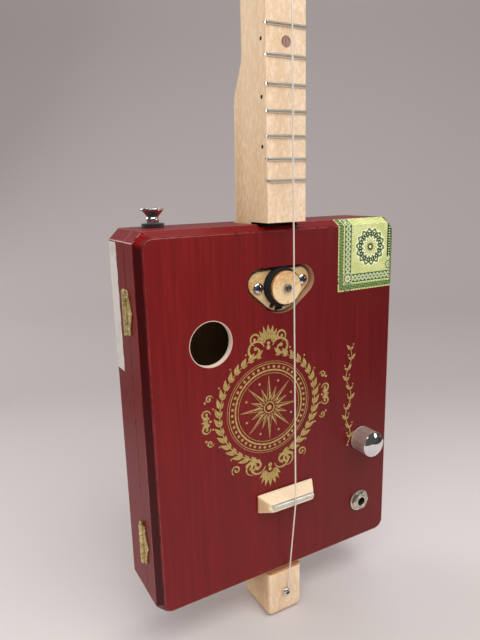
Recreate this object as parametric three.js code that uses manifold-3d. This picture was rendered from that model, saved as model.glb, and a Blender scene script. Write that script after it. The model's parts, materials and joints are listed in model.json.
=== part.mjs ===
// One-string electric cigar box guitar, upright, lid facing -Y, in millimetres.
// The origin is the centre of the tail's end face, and +Z runs up the neck.

import * as THREE from 'three';
import { mergeVertices } from 'three/addons/utils/BufferGeometryUtils.js';
import Module from 'manifold-3d';

const wasm = await Module();
wasm.setup();

// Gaps
const seatGap = 0.15;            // between pieces that rest on each other
const runGap = 0.1;              // round a turning shaft
const moveGap = 0.3;             // between pieces that pass each other
const overrun = 2;               // how far a cut reaches past a face

// Scale
const scaleLength = 647.7;       // nut to the scale's zero point
const saddleCompensation = 4.5;  // saddle beyond the zero point
const fretCount = 20;
const semitoneCount = 12;
const lastFretRise = 25.4;       // last fret above the top of the box

// Stick: neck, through bar and tail in one piece of maple
const stickWidth = 27.8;
const stickDepth = 41;           // full depth at the heel
const faceProud = 5;             // neck face ahead of the lid
const tailLength = 35;
const tailRounding = 5;
const tailEdge = 3;              // radius of the tail's long edges
const heelClearance = 1;         // heel above the top of the box
const heelRise = 72.4;           // nearly full depth kept this far above the box
const heelTaper = 1.5;           // the heel's back leans in by this much over its rise
const heelSweep = 26;            // length of the curve from heel to grip
const heelUndercut = 10;         // slot under the heel, behind the lid
const heelEdge = 3;
const faceEdge = 0.8;
const gripDepth = 32;
const gripEdge = 7;
const headLength = 92;           // nut to tip
const headDepth = 15;
const headSetback = 8;           // head face behind the neck face
const headScoop = 14;
const headSweep = 26;
const headEdge = 1.2;
const headCorner = 8;
const hangHoleDiameter = 7;
const hangHoleDrop = 13;        // below the head's tip
const throughClearance = 0.3;    // stick in the lid's slots
const notchClearance = 1.3;      // stick in the tray's notches, which swing clear of it
const chamberJoint = 6;          // overlap where bar, tail and neck are joined

// Box
const boxWidth = 189;
const boxHeight = 242.6;
const boxDepth = 49;
const lidDepth = 20.8;
const wallThickness = 8;
const panelThickness = 4;
const bevelWidth = 3.8;
const bevelDepth = 6.3;
const cornerChamfer = 6.5;
const panelCorner = 6;
const splitGap = 0.3;
const backThickness = 4;
const backMargin = 3.6;          // back panel's edge inside the tray's outline
const backCorner = 3;
const backBevel = 0.8;
const chamberCorner = 2;

// Sound hole
const soundHoleDiameter = 28;
const soundHoleInset = 43;       // from the box's left side
const soundHoleDrop = 68.5;      // below the top of the box

// Frets and nut
const fretCrownWidth = 2.4;
const fretCrownHeight = 1.1;
const fretTangWidth = 0.6;
const fretTangDepth = 1.6;
const fretSlotClearance = 0.3;
const fretEndInset = 0.3;
const nutThickness = 5;
const nutHeight = 3.7;           // above the neck face, to the string's axis
const nutCrownDrop = 1.2;        // top of the nut falls this much to the head
const nutGrooveDepth = 0.4;

// String
const stringDiameter = 1;
const stringTurnCount = 3;
const stringTurnGap = 0.45;
const stringBendReach = 2.5;     // from a bend's point to its straight run
const loopStepCount = 24;

// Bridge and saddle
const bridgeLength = 45.8;
const bridgeTopLength = 33;
const bridgeHeight = 11.2;
const bridgeTailFoot = 7.6;      // foot behind the saddle
const bridgeNeckFoot = 6.4;      // foot ahead of the saddle
const bridgeTailTop = 3.4;
const bridgeNeckTop = 1.9;
const bridgeLip = 1.2;
const saddleDiameter = 3.2;
const saddleProud = 1.1;         // rod above the bridge's top
const saddleGrooveClearance = 0.15;
const saddleEndInset = 0.4;

// Screws
const tailScrewHeadDiameter = 5.7;
const tailScrewHeadHeight = 2;
const tailScrewShank = 2.5;
const tailScrewLength = 15;
const tailScrewDrop = 16.7;      // below the bottom of the box
const tailScrewStandoff = 1.3;   // room for the string under the head
const pickupScrewHeadDiameter = 7;
const pickupScrewHeadHeight = 2.3;
const pickupScrewShank = 3;
const pickupScrewLength = 9;
const pickupScrewSpacing = 33.5;
const pickupScrewRise = 1.7;     // screws' line above the coil's axis
const pickupScrewTilt = 4.3;     // degrees, right one up
const crossWidth = 0.9;
const crossReach = 3.2;
const crossDepth = 1;
const pilotClearance = 0.15;

// Pickup
const pickupOpeningWidth = 50;
const pickupOpeningHeight = 29.7;
const pickupShoulderRadius = 9.9;
const pickupChinRadius = 18;
const pickupOpeningDrop = 26.1;  // below the top of the box
const pickupOpeningShift = 1;    // to the left of the coil's axis
const pickupTilt = 1.5;          // degrees, right side up
const pickupPlateMargin = 2.3;
const pickupPlateChinDrop = 1.3; // the margin is less at the foot
const pickupPlateSink = 3.4;     // plate face below the lid's face
const pickupPlateThickness = 3;
const coilRadius = 12.6;
const coilDrop = 39.2;           // coil axis below the top of the box
const capRadius = 10.5;
const capProud = 4.4;            // cap face ahead of the lid's face
const capThickness = 2.6;
const poleHeadDiameter = 5;
const poleHeadHeight = 2;
const poleShank = 3.6;
const magnetDiameter = 13;
const magnetThickness = 4;
const carrierWidth = 48;
const carrierHeight = 25;
const carrierDepth = 8;
const carrierClearance = 0.3;
const collarThickness = 3;       // wall round the pickup's opening, behind the lid
const collarDepth = 5;

// Volume control
const controlInset = 28.2;       // from the box's right side
const knobRise = 84.8;           // above the bottom of the box
const knobDiameter = 18.2;
const knobHeight = 16.5;
const knobDome = 1.6;
const knobSkirtHeight = 2;
const knobFluteCount = 36;
const knobFluteDepth = 0.45;
const knobRecessRadius = 7;
const knobRecessDepth = 5.6;
const knobLift = 0.6;
const shaftDiameter = 6;
const shaftReach = 13.5;         // ahead of the lid
const potRadius = 8.5;
const potDepth = 8.4;
const potBushRadius = 3.6;
const potBushReach = 4.4;
const potNutFlats = 11;
const potNutThickness = 2;
const potLugLength = 5;
const potLugWidth = 2;
const potLugThickness = 0.8;
const potLugSpacing = 4;
const panelHoleClearance = 0.3;

// Output jack
const jackRise = 34.3;           // above the bottom of the box
const jackBore = 6.6;
const jackThreadRadius = 4.7;
const jackThreadReach = 3.5;
const jackNutFlats = 12.7;
const jackNutThickness = 2.4;
const jackWasherRadius = 8.1;
const jackWasherThickness = 0.9;
const jackFlangeRadius = 7.5;
const jackFlangeThickness = 1.4;
const jackSpringLength = 17;
const jackSpringWidth = 5;
const jackSpringThickness = 0.9;
const jackSpringStand = 6;       // from the bore's axis

// Leads inside the box
const leadDiameter = 2.2;
const leadSides = 8;
const pickupLeadBow = 14;
const jackLeadBow = 10;

// Strap button, on the tray's top wall
const buttonInset = 24;          // from the box's left side
const buttonSetback = 14.2;      // behind the split
const feltRadius = 6.9;
const feltThickness = 2.2;
const buttonFootRadius = 3.7;
const buttonFootHeight = 1.1;
const buttonWaistRadius = 3.4;
const buttonRimRadius = 6.9;
const buttonHeight = 8.8;
const buttonRimHeight = 1.6;
const buttonCupRadius = 4.4;
const buttonCupDepth = 2.6;
const buttonScrewShank = 3.4;
const buttonScrewDepth = 5.5;    // into the wall

// Hinges, on the left side
const hingeSpacing = 151.6;
const hingeDrop = 1.5;           // middle of the pair below the box's middle
const hingeLength = 27;
const hingeKnuckleCount = 4;
const hingeKnuckleRadius = 1.45;
const hingePinRadius = 0.7;
const hingeBallRadius = 1.1;
const hingeBallNeck = 0.7;
const hingeLeafThickness = 0.9;
const hingeLidReach = 8.8;       // from the pin's axis to the lid leaf's scallop
const hingeTrayReach = 6.2;
const hingeLeafShoulder = 5.2;   // from the pin's axis to the narrow ends
const hingeKnuckleGap = 0.3;

// Tuner, on the back of the head
const postRise = 48;             // above the nut's front face
const postWaistRadius = 3;
const postWaistLength = 6.8;
const postHeadRadius = 3.9;
const postHeadThickness = 1.8;
const postCollarThickness = 1;
const postHoleRadius = 0.8;
const bushingFlangeRadius = 6;
const bushingFlangeThickness = 2.4;
const bushingTubeRadius = 4.9;
const bushingTubeDepth = 9;
const tunerPlateThickness = 1.2;
const tunerPlateHalfWidth = 10.5;
const tunerPlateTop = 10;        // above the post
const tunerPlateBottom = 16;     // below the post
const gearToothCount = 14;
const gearPitchRadius = 7;
const gearToothRise = 0.45;
const gearToothFall = 0.9;
const gearTipHalf = 0.38;
const gearRootHalf = 0.72;
const gearThickness = 3;
const gearStandoff = 2.6;
const gearSeatRadius = 2.4;
const wormPitchRadius = 3;
const wormCoreRadius = 2.15;
const wormThreadRadius = 0.65;
const wormThreadTurnCount = 3;
const wormHalfLength = 5.6;
const keyShaftRadius = 1.75;
const lugThickness = 1.2;
const lugHalfHeight = 3.3;
const lugProud = 3.4;            // beyond the worm's axis
const buttonKeyGap = 4.5;        // between the head's side and the key's button
const keyButtonLength = 14;
const keyButtonHalfWidth = 8;
const keyButtonHalfThickness = 3.6;
const keyCollarRadius = 2.9;
const keyCollarLength = 2.2;

// Facets round a full turn
const fineSides = 32;
const plainSides = 20;
const cornerSteps = 4;
const stringSides = 8;

// Places that follow from the sizes
const halfStick = stickWidth / 2;
const panelFaceY = -(stickDepth - faceProud) / 2;
const stickBackY = (stickDepth - faceProud) / 2;
const neckFaceY = panelFaceY - faceProud;
const panelBackY = panelFaceY + panelThickness;
const splitY = panelFaceY + lidDepth;
const boxBackY = panelFaceY + boxDepth;
const boxBottomZ = tailLength;
const boxTopZ = boxBottomZ + boxHeight;
const boxMidZ = boxBottomZ + boxHeight / 2;
const boxSideX = boxWidth / 2;
const heelZ = boxTopZ + heelClearance;
const lastFretZ = boxTopZ + lastFretRise;
const scaleZeroZ = lastFretZ - scaleLength / 2 ** (fretCount / semitoneCount);
const nutZ = scaleZeroZ + scaleLength;
const saddleZ = scaleZeroZ - saddleCompensation;
const headFaceY = neckFaceY + headSetback;
const headBackY = headFaceY + headDepth;
const headTipZ = nutZ + headLength;
const coilZ = boxTopZ - coilDrop;
const openingTopZ = boxTopZ - pickupOpeningDrop;
const openingBottomZ = openingTopZ - pickupOpeningHeight;
const plateFaceY = panelFaceY + pickupPlateSink;
const plateBackY = plateFaceY + pickupPlateThickness;
const collarBackY = panelBackY + collarDepth;
const carrierBackY = collarBackY + seatGap + carrierDepth;
const carrierMidZ = (openingTopZ + openingBottomZ) / 2;
const capFaceY = panelFaceY - capProud;
const controlX = boxSideX - controlInset;
const buttonX = -boxSideX + buttonInset;
const knobZ = boxBottomZ + knobRise;
const jackZ = boxBottomZ + jackRise;
const tailScrewZ = boxBottomZ - tailScrewDrop;
const stringRadius = stringDiameter / 2;
const saddleAxisY = panelFaceY - bridgeHeight - saddleProud + saddleDiameter / 2;
const saddleTopY = panelFaceY - bridgeHeight - saddleProud;
const stringSaddleY = saddleTopY - stringRadius - seatGap;
const stringNutY = neckFaceY - nutHeight;
const hingeAxisX = -(boxSideX + hingeKnuckleRadius + seatGap);
const postX = -(postWaistRadius + stringRadius + seatGap);
const postZ = nutZ + postRise;
const gearY = headBackY + seatGap + tunerPlateThickness + gearStandoff;
const wormY = gearY + gearThickness / 2;
const wormZ = postZ - gearPitchRadius - wormPitchRadius;
const wormLead = (2 * Math.PI * gearPitchRadius) / gearToothCount;

// Finishes
const finishes = {
  maple: { color: 0xe9cda2, roughness: 0.55, metalness: 0 },
  redLacquer: { color: 0x76232a, roughness: 0.4, metalness: 0 },
  chrome: { color: 0xd8dadd, roughness: 0.12, metalness: 1 },
  nickel: { color: 0xb9b6ae, roughness: 0.28, metalness: 1 },
  steel: { color: 0xc3c5c8, roughness: 0.25, metalness: 1 },
  oldBrass: { color: 0x9a8550, roughness: 0.42, metalness: 1 },
  bone: { color: 0xe9e2d0, roughness: 0.4, metalness: 0 },
  clothTape: { color: 0x17171a, roughness: 0.8, metalness: 0 },
  felt: { color: 0x141416, roughness: 1, metalness: 0 },
  ferrite: { color: 0x3a3a3d, roughness: 0.7, metalness: 0.2 },
  greyLead: { color: 0x55565a, roughness: 0.6, metalness: 0 },
};

// Solids
function isSliver(i, j, k) {
  return i === j || j === k || k === i;
}

function toSolid(geometry) {
  const bare = geometry.clone();
  bare.deleteAttribute('normal');
  bare.deleteAttribute('uv');
  const merged = mergeVertices(bare);
  const points = merged.attributes.position.array;
  const index = merged.index.array;
  const corners = [];
  for (let i = 0; i < index.length; i += 3) {
    if (!isSliver(index[i], index[i + 1], index[i + 2])) {
      corners.push(index[i], index[i + 1], index[i + 2]);
    }
  }
  if (signedVolume(points, corners) < 0) {
    corners.reverse();
  }
  const mesh = { numProp: 3, vertProperties: new Float32Array(points), triVerts: new Uint32Array(corners) };
  return new wasm.Manifold(new wasm.Mesh(mesh));
}

function signedVolume(points, corners) {
  const [a, b, c] = [new THREE.Vector3(), new THREE.Vector3(), new THREE.Vector3()];
  let volume = 0;
  for (let i = 0; i < corners.length; i += 3) {
    a.fromArray(points, 3 * corners[i]);
    b.fromArray(points, 3 * corners[i + 1]);
    c.fromArray(points, 3 * corners[i + 2]);
    volume += a.dot(b.cross(c));
  }
  return volume;
}

function toGeometry(solid) {
  const mesh = solid.getMesh();
  const geometry = new THREE.BufferGeometry();
  geometry.setAttribute('position', new THREE.BufferAttribute(mesh.vertProperties, 3));
  geometry.setIndex(new THREE.BufferAttribute(mesh.triVerts, 1));
  geometry.computeVertexNormals();
  return geometry;
}

function joined(...geometries) {
  return geometries.map(toSolid).reduce((whole, next) => whole.add(next));
}

function cutFrom(solid, ...geometries) {
  return geometries.map(toSolid).reduce((rest, tool) => rest.subtract(tool), solid);
}

// Shapes in place
function block(x0, x1, y0, y1, z0, z1) {
  const geometry = new THREE.BoxGeometry(x1 - x0, y1 - y0, z1 - z0);
  return geometry.translate((x0 + x1) / 2, (y0 + y1) / 2, (z0 + z1) / 2);
}

function rodAlongY(radius, y0, y1, x, z, sides = plainSides) {
  const geometry = new THREE.CylinderGeometry(radius, radius, y1 - y0, sides);
  return geometry.translate(x, (y0 + y1) / 2, z);
}

function rodAlongX(radius, x0, x1, y, z, sides = plainSides) {
  const geometry = new THREE.CylinderGeometry(radius, radius, x1 - x0, sides);
  return geometry.rotateZ(Math.PI / 2).translate((x0 + x1) / 2, y, z);
}

function rodAlongZ(radius, z0, z1, x, y, sides = plainSides) {
  const geometry = new THREE.CylinderGeometry(radius, radius, z1 - z0, sides);
  return geometry.rotateX(Math.PI / 2).translate(x, y, (z0 + z1) / 2);
}

// A profile of [radius, height] pairs turned about an axis; 'front' points to -Y.
function turned(profile, facing, x, y, z, sides = plainSides) {
  const points = profile.map(([radius, height]) => new THREE.Vector2(radius, height));
  const geometry = new THREE.LatheGeometry(points, sides);
  if (facing === 'front') {
    geometry.rotateX(Math.PI);
  }
  if (facing === 'up') {
    geometry.rotateX(Math.PI / 2);
  }
  return geometry.translate(x, y, z);
}

// An outline in X and Z, made into a plate between two depths.
function plate(outline, y0, y1, curveSegments = cornerSteps) {
  const geometry = new THREE.ExtrudeGeometry(outline, { depth: y1 - y0, bevelEnabled: false, curveSegments });
  return geometry.rotateX(Math.PI / 2).translate(0, y1, 0);
}

function hexOutline(flats, x, z) {
  const radius = flats / Math.sqrt(3);
  const outline = new THREE.Shape();
  const corners = [0, 1, 2, 3, 4, 5].map((i) => (i * Math.PI) / 3);
  outline.setFromPoints(corners.map((a) => new THREE.Vector2(x + radius * Math.cos(a), z + radius * Math.sin(a))));
  return outline;
}

// Rings of points, all with the same count, skinned and capped.
function loft(rings) {
  const count = rings[0].length;
  const positions = rings.flat().flatMap((point) => point.toArray());
  const index = [];
  for (let r = 0; r + 1 < rings.length; r += 1) {
    for (let i = 0; i < count; i += 1) {
      const a = r * count + i;
      const b = r * count + ((i + 1) % count);
      index.push(a, b, b + count, a, b + count, a + count);
    }
  }
  const last = (rings.length - 1) * count;
  for (let i = 1; i + 1 < count; i += 1) {
    index.push(0, i + 1, i, last, last + i, last + i + 1);
  }
  const geometry = new THREE.BufferGeometry();
  geometry.setAttribute('position', new THREE.Float32BufferAttribute(positions, 3));
  geometry.setIndex(index);
  return geometry;
}

// A rectangle's corners, each cut by an arc or by a straight chamfer.
function cornerPoints(u0, u1, v0, v1, radii, chamfered = false) {
  const centres = [[u1, v1, -1, -1], [u0, v1, 1, -1], [u0, v0, 1, 1], [u1, v0, -1, 1]];
  const points = [];
  centres.forEach(([u, v, inU, inV], corner) => {
    const radius = radii[corner];
    const middle = [u + inU * radius, v + inV * radius];
    for (let i = 0; i <= cornerSteps; i += 1) {
      const turn = (corner * Math.PI) / 2 + (i / cornerSteps) * (Math.PI / 2);
      const share = i / cornerSteps;
      const along = corner % 2 ? [1 - share, share] : [share, 1 - share];
      const arc = [middle[0] + radius * Math.cos(turn), middle[1] + radius * Math.sin(turn)];
      const straight = [u + inU * radius * along[0], v + inV * radius * along[1]];
      points.push(chamfered ? straight : arc);
    }
  });
  return points;
}

// The box's outline at one depth, drawn in from its full size.
function boxRing(y, inset, corner, chamfered) {
  const radii = [corner, corner, corner, corner];
  const sides = [-boxSideX + inset, boxSideX - inset, boxBottomZ + inset, boxTopZ - inset];
  return cornerPoints(...sides, radii, chamfered).map(([x, z]) => new THREE.Vector3(x, y, z));
}

function insetOutline(inset, corner) {
  const outline = new THREE.Shape();
  const ring = boxRing(0, inset, corner, false);
  outline.setFromPoints(ring.map((point) => new THREE.Vector2(point.x, point.z)));
  return outline;
}

// One section of the stick, square to the neck.
function stickRing(z, half, frontY, backY, frontEdge, backEdge) {
  const radii = [backEdge, backEdge, frontEdge, frontEdge];
  return cornerPoints(-half, half, frontY, backY, radii).map(([x, y]) => new THREE.Vector3(x, y, z));
}

function smooth(share) {
  return share * share * (3 - 2 * share);
}

function between(from, to, share) {
  return from + (to - from) * share;
}

function shares(count) {
  return Array.from({ length: count + 1 }, (_, i) => i / count);
}

// A curve through chosen stations, taken station by station.
class StationCurve extends THREE.Curve {
  constructor(points) {
    super();
    this.points = points;
  }

  getPointAt(share) {
    const place = share * (this.points.length - 1);
    const low = Math.min(Math.floor(place), this.points.length - 2);
    return this.points[low].clone().lerp(this.points[low + 1], place - low);
  }

  getTangentAt(share) {
    const here = Math.round(share * (this.points.length - 1));
    const before = this.points[Math.max(here - 1, 0)];
    const after = this.points[Math.min(here + 1, this.points.length - 1)];
    return after.clone().sub(before).normalize();
  }
}

function tube(points, radius, sides) {
  const section = new THREE.Shape();
  const angles = shares(sides).slice(0, sides).map((share) => share * 2 * Math.PI);
  section.setFromPoints(angles.map((a) => new THREE.Vector2(radius * Math.cos(a), radius * Math.sin(a))));
  const options = { extrudePath: new StationCurve(points), steps: points.length - 1, bevelEnabled: false };
  return new THREE.ExtrudeGeometry(section, options);
}

function crossCut(facing, x, y, z) {
  const half = crossReach / 2;
  const thin = crossWidth / 2;
  if (facing === 'up') {
    const depths = [z - crossDepth, z + overrun];
    return [block(x - half, x + half, y - thin, y + thin, ...depths),
      block(x - thin, x + thin, y - half, y + half, ...depths)];
  }
  const depths = [y - overrun, y + crossDepth];
  return [block(x - half, x + half, ...depths, z - thin, z + thin),
    block(x - thin, x + thin, ...depths, z - half, z + half)];
}

// Height of a domed head's profile, from its rim to its crown.
function domeProfile(radius, rimHeight, height) {
  return shares(cornerSteps).map((share) => {
    const turn = (share * Math.PI) / 2;
    return [radius * Math.cos(turn), rimHeight + (height - rimHeight) * Math.sin(turn)];
  });
}

// The box
function neckSlot(clearance, y0, y1) {
  const half = halfStick + clearance;
  return block(-half, half, y0, y1, boxBottomZ - overrun, boxTopZ + overrun);
}

function makeLidRim() {
  const backY = splitY - splitGap / 2;
  const body = toSolid(loft([
    boxRing(panelFaceY, bevelWidth, panelCorner, false),
    boxRing(panelFaceY + bevelDepth, 0, cornerChamfer, true),
    boxRing(backY, 0, cornerChamfer, true),
  ]));
  return cutFrom(
    body,
    plate(insetOutline(bevelWidth - seatGap, panelCorner), panelFaceY - overrun, panelBackY + seatGap),
    plate(insetOutline(wallThickness, chamberCorner), panelFaceY, backY + overrun),
    neckSlot(throughClearance, panelBackY, backY + overrun),
  );
}

function makeTrayFrame() {
  const frontY = splitY + splitGap / 2;
  const rebate = insetOutline(backMargin - seatGap, backCorner);
  const body = toSolid(loft([
    boxRing(frontY, 0, cornerChamfer, true),
    boxRing(boxBackY - backBevel, 0, cornerChamfer, true),
    boxRing(boxBackY, backBevel, cornerChamfer, true),
  ]));
  const pilot = buttonScrewShank / 2 + pilotClearance;
  return cutFrom(
    body,
    plate(rebate, boxBackY - backThickness - seatGap, boxBackY + overrun),
    plate(insetOutline(wallThickness, chamberCorner), frontY - overrun, boxBackY),
    neckSlot(notchClearance, frontY - overrun, stickBackY + throughClearance),
    rodAlongZ(pilot, boxTopZ - wallThickness - overrun, boxTopZ + overrun, buttonX, splitY + buttonSetback),
  );
}

function makeBackPanel() {
  return plate(insetOutline(backMargin, backCorner), boxBackY - backThickness, boxBackY);
}

// The outline round three circles: two shoulders and a wide chin, which can be set lower.
function pickupOutline(inset, middleX, chinDrop = 0) {
  const shoulder = pickupShoulderRadius;
  const chin = pickupChinRadius;
  const side = pickupOpeningWidth / 2 - shoulder;
  const shoulderZ = openingTopZ - shoulder;
  const chinZ = openingBottomZ + chin - chinDrop;
  const toShoulder = Math.atan2(shoulderZ - chinZ, side);
  const lean = Math.acos((chin - shoulder) / Math.hypot(side, shoulderZ - chinZ));
  const normal = toShoulder - lean;
  const outline = new THREE.Shape();
  outline.absarc(middleX + side, shoulderZ, shoulder - inset, normal, Math.PI / 2, false);
  outline.absarc(middleX - side, shoulderZ, shoulder - inset, Math.PI / 2, Math.PI - normal, false);
  outline.absarc(middleX, chinZ, chin - inset, Math.PI - normal, 2 * Math.PI + normal, false);
  return outline;
}

// The pickup's plate and the foot it rests on share one outline, turned about the coil's axis.
function tiltedPlate(y0, y1) {
  const body = plate(pickupOutline(pickupPlateMargin, -pickupOpeningShift / 2, pickupPlateChinDrop), y0, y1,
    2 * cornerSteps);
  return body.translate(0, 0, -coilZ).rotateY(-THREE.MathUtils.degToRad(pickupTilt)).translate(0, 0, coilZ);
}

function makeLidPanel() {
  const collar = plate(pickupOutline(-collarThickness, -pickupOpeningShift), panelBackY - seatGap, collarBackY,
    2 * cornerSteps);
  const body = joined(plate(insetOutline(bevelWidth, panelCorner), panelFaceY, panelBackY), collar);
  const depths = [panelFaceY - overrun, collarBackY + overrun];
  const soundHoleZ = boxTopZ - soundHoleDrop;
  return cutFrom(
    body,
    rodAlongY(soundHoleDiameter / 2, ...depths, -boxSideX + soundHoleInset, soundHoleZ, fineSides),
    plate(pickupOutline(0, -pickupOpeningShift), ...depths, 2 * cornerSteps),
    rodAlongY(potBushRadius + panelHoleClearance, ...depths, controlX, knobZ),
    rodAlongY(jackThreadRadius + panelHoleClearance, ...depths, controlX, jackZ),
  );
}

// The stick
function tailRings() {
  const topZ = boxBottomZ - seatGap;
  const rounded = shares(cornerSteps).map((share) => {
    const turn = (share * Math.PI) / 2;
    const inset = tailRounding * (1 - Math.sin(turn));
    const edge = between(tailRounding, tailEdge, share) * between(1 / cornerSteps, 1, share);
    const z = tailRounding * (1 - Math.cos(turn));
    return stickRing(z, halfStick - inset, panelFaceY + inset, stickBackY - inset, edge, edge);
  });
  return [...rounded, stickRing(topZ, halfStick, panelFaceY, stickBackY, tailEdge, tailEdge)];
}

function neckRings() {
  const sweepStart = boxTopZ + heelRise;
  const gripBackY = neckFaceY + gripDepth;
  const nutBackZ = nutZ + nutThickness;
  const headStart = nutBackZ + headScoop;
  const headSweepStart = headStart - headSweep;
  const steps = shares(2 * cornerSteps);
  const backAt = (z) => {
    const share = THREE.MathUtils.clamp((z - headSweepStart) / headSweep, 0, 1);
    return between(gripBackY, headBackY, smooth(share));
  };
  const backEdgeAt = (z) => {
    const share = THREE.MathUtils.clamp((z - headSweepStart) / headSweep, 0, 1);
    return between(gripEdge, headEdge, smooth(share));
  };
  const heelBackY = stickBackY - heelTaper;
  const heel = [[heelZ, stickBackY], [sweepStart, heelBackY]].map(([z, backY]) => (
    stickRing(z, halfStick, neckFaceY, backY, faceEdge, heelEdge)));
  const sweep = steps.slice(1).map((share) => {
    const backY = between(heelBackY, gripBackY, smooth(share));
    return stickRing(sweepStart + heelSweep * share, halfStick, neckFaceY, backY, faceEdge,
      between(heelEdge, gripEdge, share));
  });
  const grip = [headSweepStart, between(headSweepStart, nutBackZ, 1 / 2), nutBackZ].map((z) => (
    stickRing(z, halfStick, neckFaceY, backAt(z), faceEdge, backEdgeAt(z))));
  const scoop = steps.slice(1).map((share) => {
    const z = nutBackZ + headScoop * share;
    return stickRing(z, halfStick, between(neckFaceY, headFaceY, smooth(share)), backAt(z), faceEdge, backEdgeAt(z));
  });
  const tip = shares(cornerSteps).map((share) => {
    const turn = (share * Math.PI) / 2;
    const half = halfStick - headCorner * (1 - Math.cos(turn));
    return stickRing(headTipZ - headCorner * (1 - Math.sin(turn)), half, headFaceY, headBackY, faceEdge, headEdge);
  });
  return [...heel, ...sweep, ...grip, ...scoop, ...tip];
}

function makeNeck() {
  const barFrontY = panelBackY + seatGap;
  const bar = block(-halfStick, halfStick, barFrontY, stickBackY, boxBottomZ - 2 * seatGap, heelZ + seatGap);
  const tenons = [boxBottomZ, heelZ].map((z) => block(-halfStick + tailEdge, halfStick - tailEdge,
    barFrontY + tailEdge, stickBackY - tailEdge, z - chamberJoint, z + chamberJoint));
  const blank = joined(loft(tailRings()), bar, ...tenons, loft(neckRings()));
  const slotHalf = fretTangWidth / 2 + fretSlotClearance;
  const slotFloorY = neckFaceY + fretTangDepth + fretSlotClearance;
  const fretSlots = fretPlaces().map((z) => (
    block(-halfStick - overrun, halfStick + overrun, neckFaceY - overrun, slotFloorY, z - slotHalf, z + slotHalf)));
  const undercut = block(-halfStick - overrun, halfStick + overrun, panelBackY, panelBackY + heelUndercut,
    boxTopZ - wallThickness, heelZ);
  const notchHalf = pickupOpeningHeight / 2 + collarThickness + carrierClearance;
  const pickupNotch = block(-halfStick - overrun, halfStick + overrun, panelBackY, carrierBackY + carrierClearance,
    carrierMidZ - notchHalf, carrierMidZ + notchHalf);
  const tubeHole = rodAlongY(bushingTubeRadius + seatGap, headFaceY - overrun,
    headFaceY + bushingTubeDepth + moveGap, postX, postZ);
  const postHole = rodAlongY(postWaistRadius + moveGap, headFaceY, headBackY + overrun, postX, postZ);
  const screwHole = rodAlongY(tailScrewShank / 2 + pilotClearance, panelFaceY - overrun,
    panelFaceY + tailScrewLength + moveGap, 0, tailScrewZ);
  const hangHole = rodAlongY(hangHoleDiameter / 2, headFaceY - overrun, headBackY + overrun, 0,
    headTipZ - hangHoleDrop);
  return cutFrom(blank, ...fretSlots, undercut, pickupNotch, tubeHole, postHole, screwHole, hangHole);
}

// Frets and nut
function fretPlaces() {
  return Array.from({ length: fretCount }, (_, i) => scaleZeroZ + scaleLength / 2 ** ((i + 1) / semitoneCount));
}

function makeFret(z) {
  const seatY = neckFaceY - seatGap;
  const outline = new THREE.Shape();
  const crown = shares(2 * cornerSteps).map((share) => {
    const turn = share * Math.PI;
    return new THREE.Vector2((fretCrownWidth / 2) * Math.cos(turn), -fretCrownHeight * Math.sin(turn));
  });
  const tang = [[-1, 0], [-1, 1], [1, 1], [1, 0]].map(([side, deep]) => (
    new THREE.Vector2((side * fretTangWidth) / 2, deep * (fretTangDepth + seatGap))));
  outline.setFromPoints([...crown, ...tang]);
  const length = stickWidth - 2 * fretEndInset;
  const bar = new THREE.ExtrudeGeometry(outline, { depth: length, bevelEnabled: false });
  return bar.rotateY(-Math.PI / 2).translate(length / 2, seatY, z);
}

function makeNut() {
  const topY = stringNutY + stringRadius - nutGrooveDepth;
  const seatY = neckFaceY - seatGap;
  const outline = new THREE.Shape();
  const backZ = nutZ + nutThickness;
  outline.setFromPoints([[seatY, nutZ], [topY, nutZ], [topY + nutCrownDrop, backZ], [seatY, backZ]]
    .map(([y, z]) => new THREE.Vector2(z, y)));
  const bar = new THREE.ExtrudeGeometry(outline, { depth: stickWidth, bevelEnabled: false });
  bar.rotateY(-Math.PI / 2).translate(halfStick, 0, 0);
  const grooveFloorY = stringNutY + stringRadius + seatGap;
  const grooveHalf = stringRadius + seatGap;
  const groove = block(-grooveHalf, grooveHalf, topY - overrun, grooveFloorY, nutZ - overrun, backZ + overrun);
  return cutFrom(toSolid(bar), groove);
}

// Bridge and saddle
function makeBridge() {
  const footY = panelFaceY - seatGap;
  const topY = panelFaceY - bridgeHeight;
  const side = new THREE.Shape();
  side.setFromPoints([
    [saddleZ - bridgeTailFoot, footY], [saddleZ + bridgeNeckFoot, footY],
    [saddleZ + bridgeNeckFoot, footY - bridgeLip], [saddleZ + bridgeNeckTop, topY],
    [saddleZ - bridgeTailTop, topY],
  ].map(([z, y]) => new THREE.Vector2(z, y)));
  const lengthwise = new THREE.ExtrudeGeometry(side, { depth: bridgeLength, bevelEnabled: false });
  lengthwise.rotateY(-Math.PI / 2).translate(bridgeLength / 2, 0, 0);
  const front = new THREE.Shape();
  front.setFromPoints([
    [-bridgeLength / 2, footY], [bridgeLength / 2, footY],
    [bridgeTopLength / 2, topY], [-bridgeTopLength / 2, topY],
  ].map(([x, y]) => new THREE.Vector2(x, y)));
  const reach = bridgeTailFoot + bridgeNeckFoot;
  const upright = new THREE.ExtrudeGeometry(front, { depth: 2 * reach, bevelEnabled: false });
  upright.translate(0, 0, saddleZ - reach);
  const grooveRadius = saddleDiameter / 2 + saddleGrooveClearance;
  const groove = rodAlongX(grooveRadius, -bridgeLength / 2, bridgeLength / 2, saddleAxisY, saddleZ);
  return cutFrom(toSolid(lengthwise).intersect(toSolid(upright)), groove);
}

function makeSaddle() {
  const half = bridgeTopLength / 2 - saddleEndInset;
  return rodAlongX(saddleDiameter / 2, -half, half, saddleAxisY, saddleZ);
}

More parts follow.
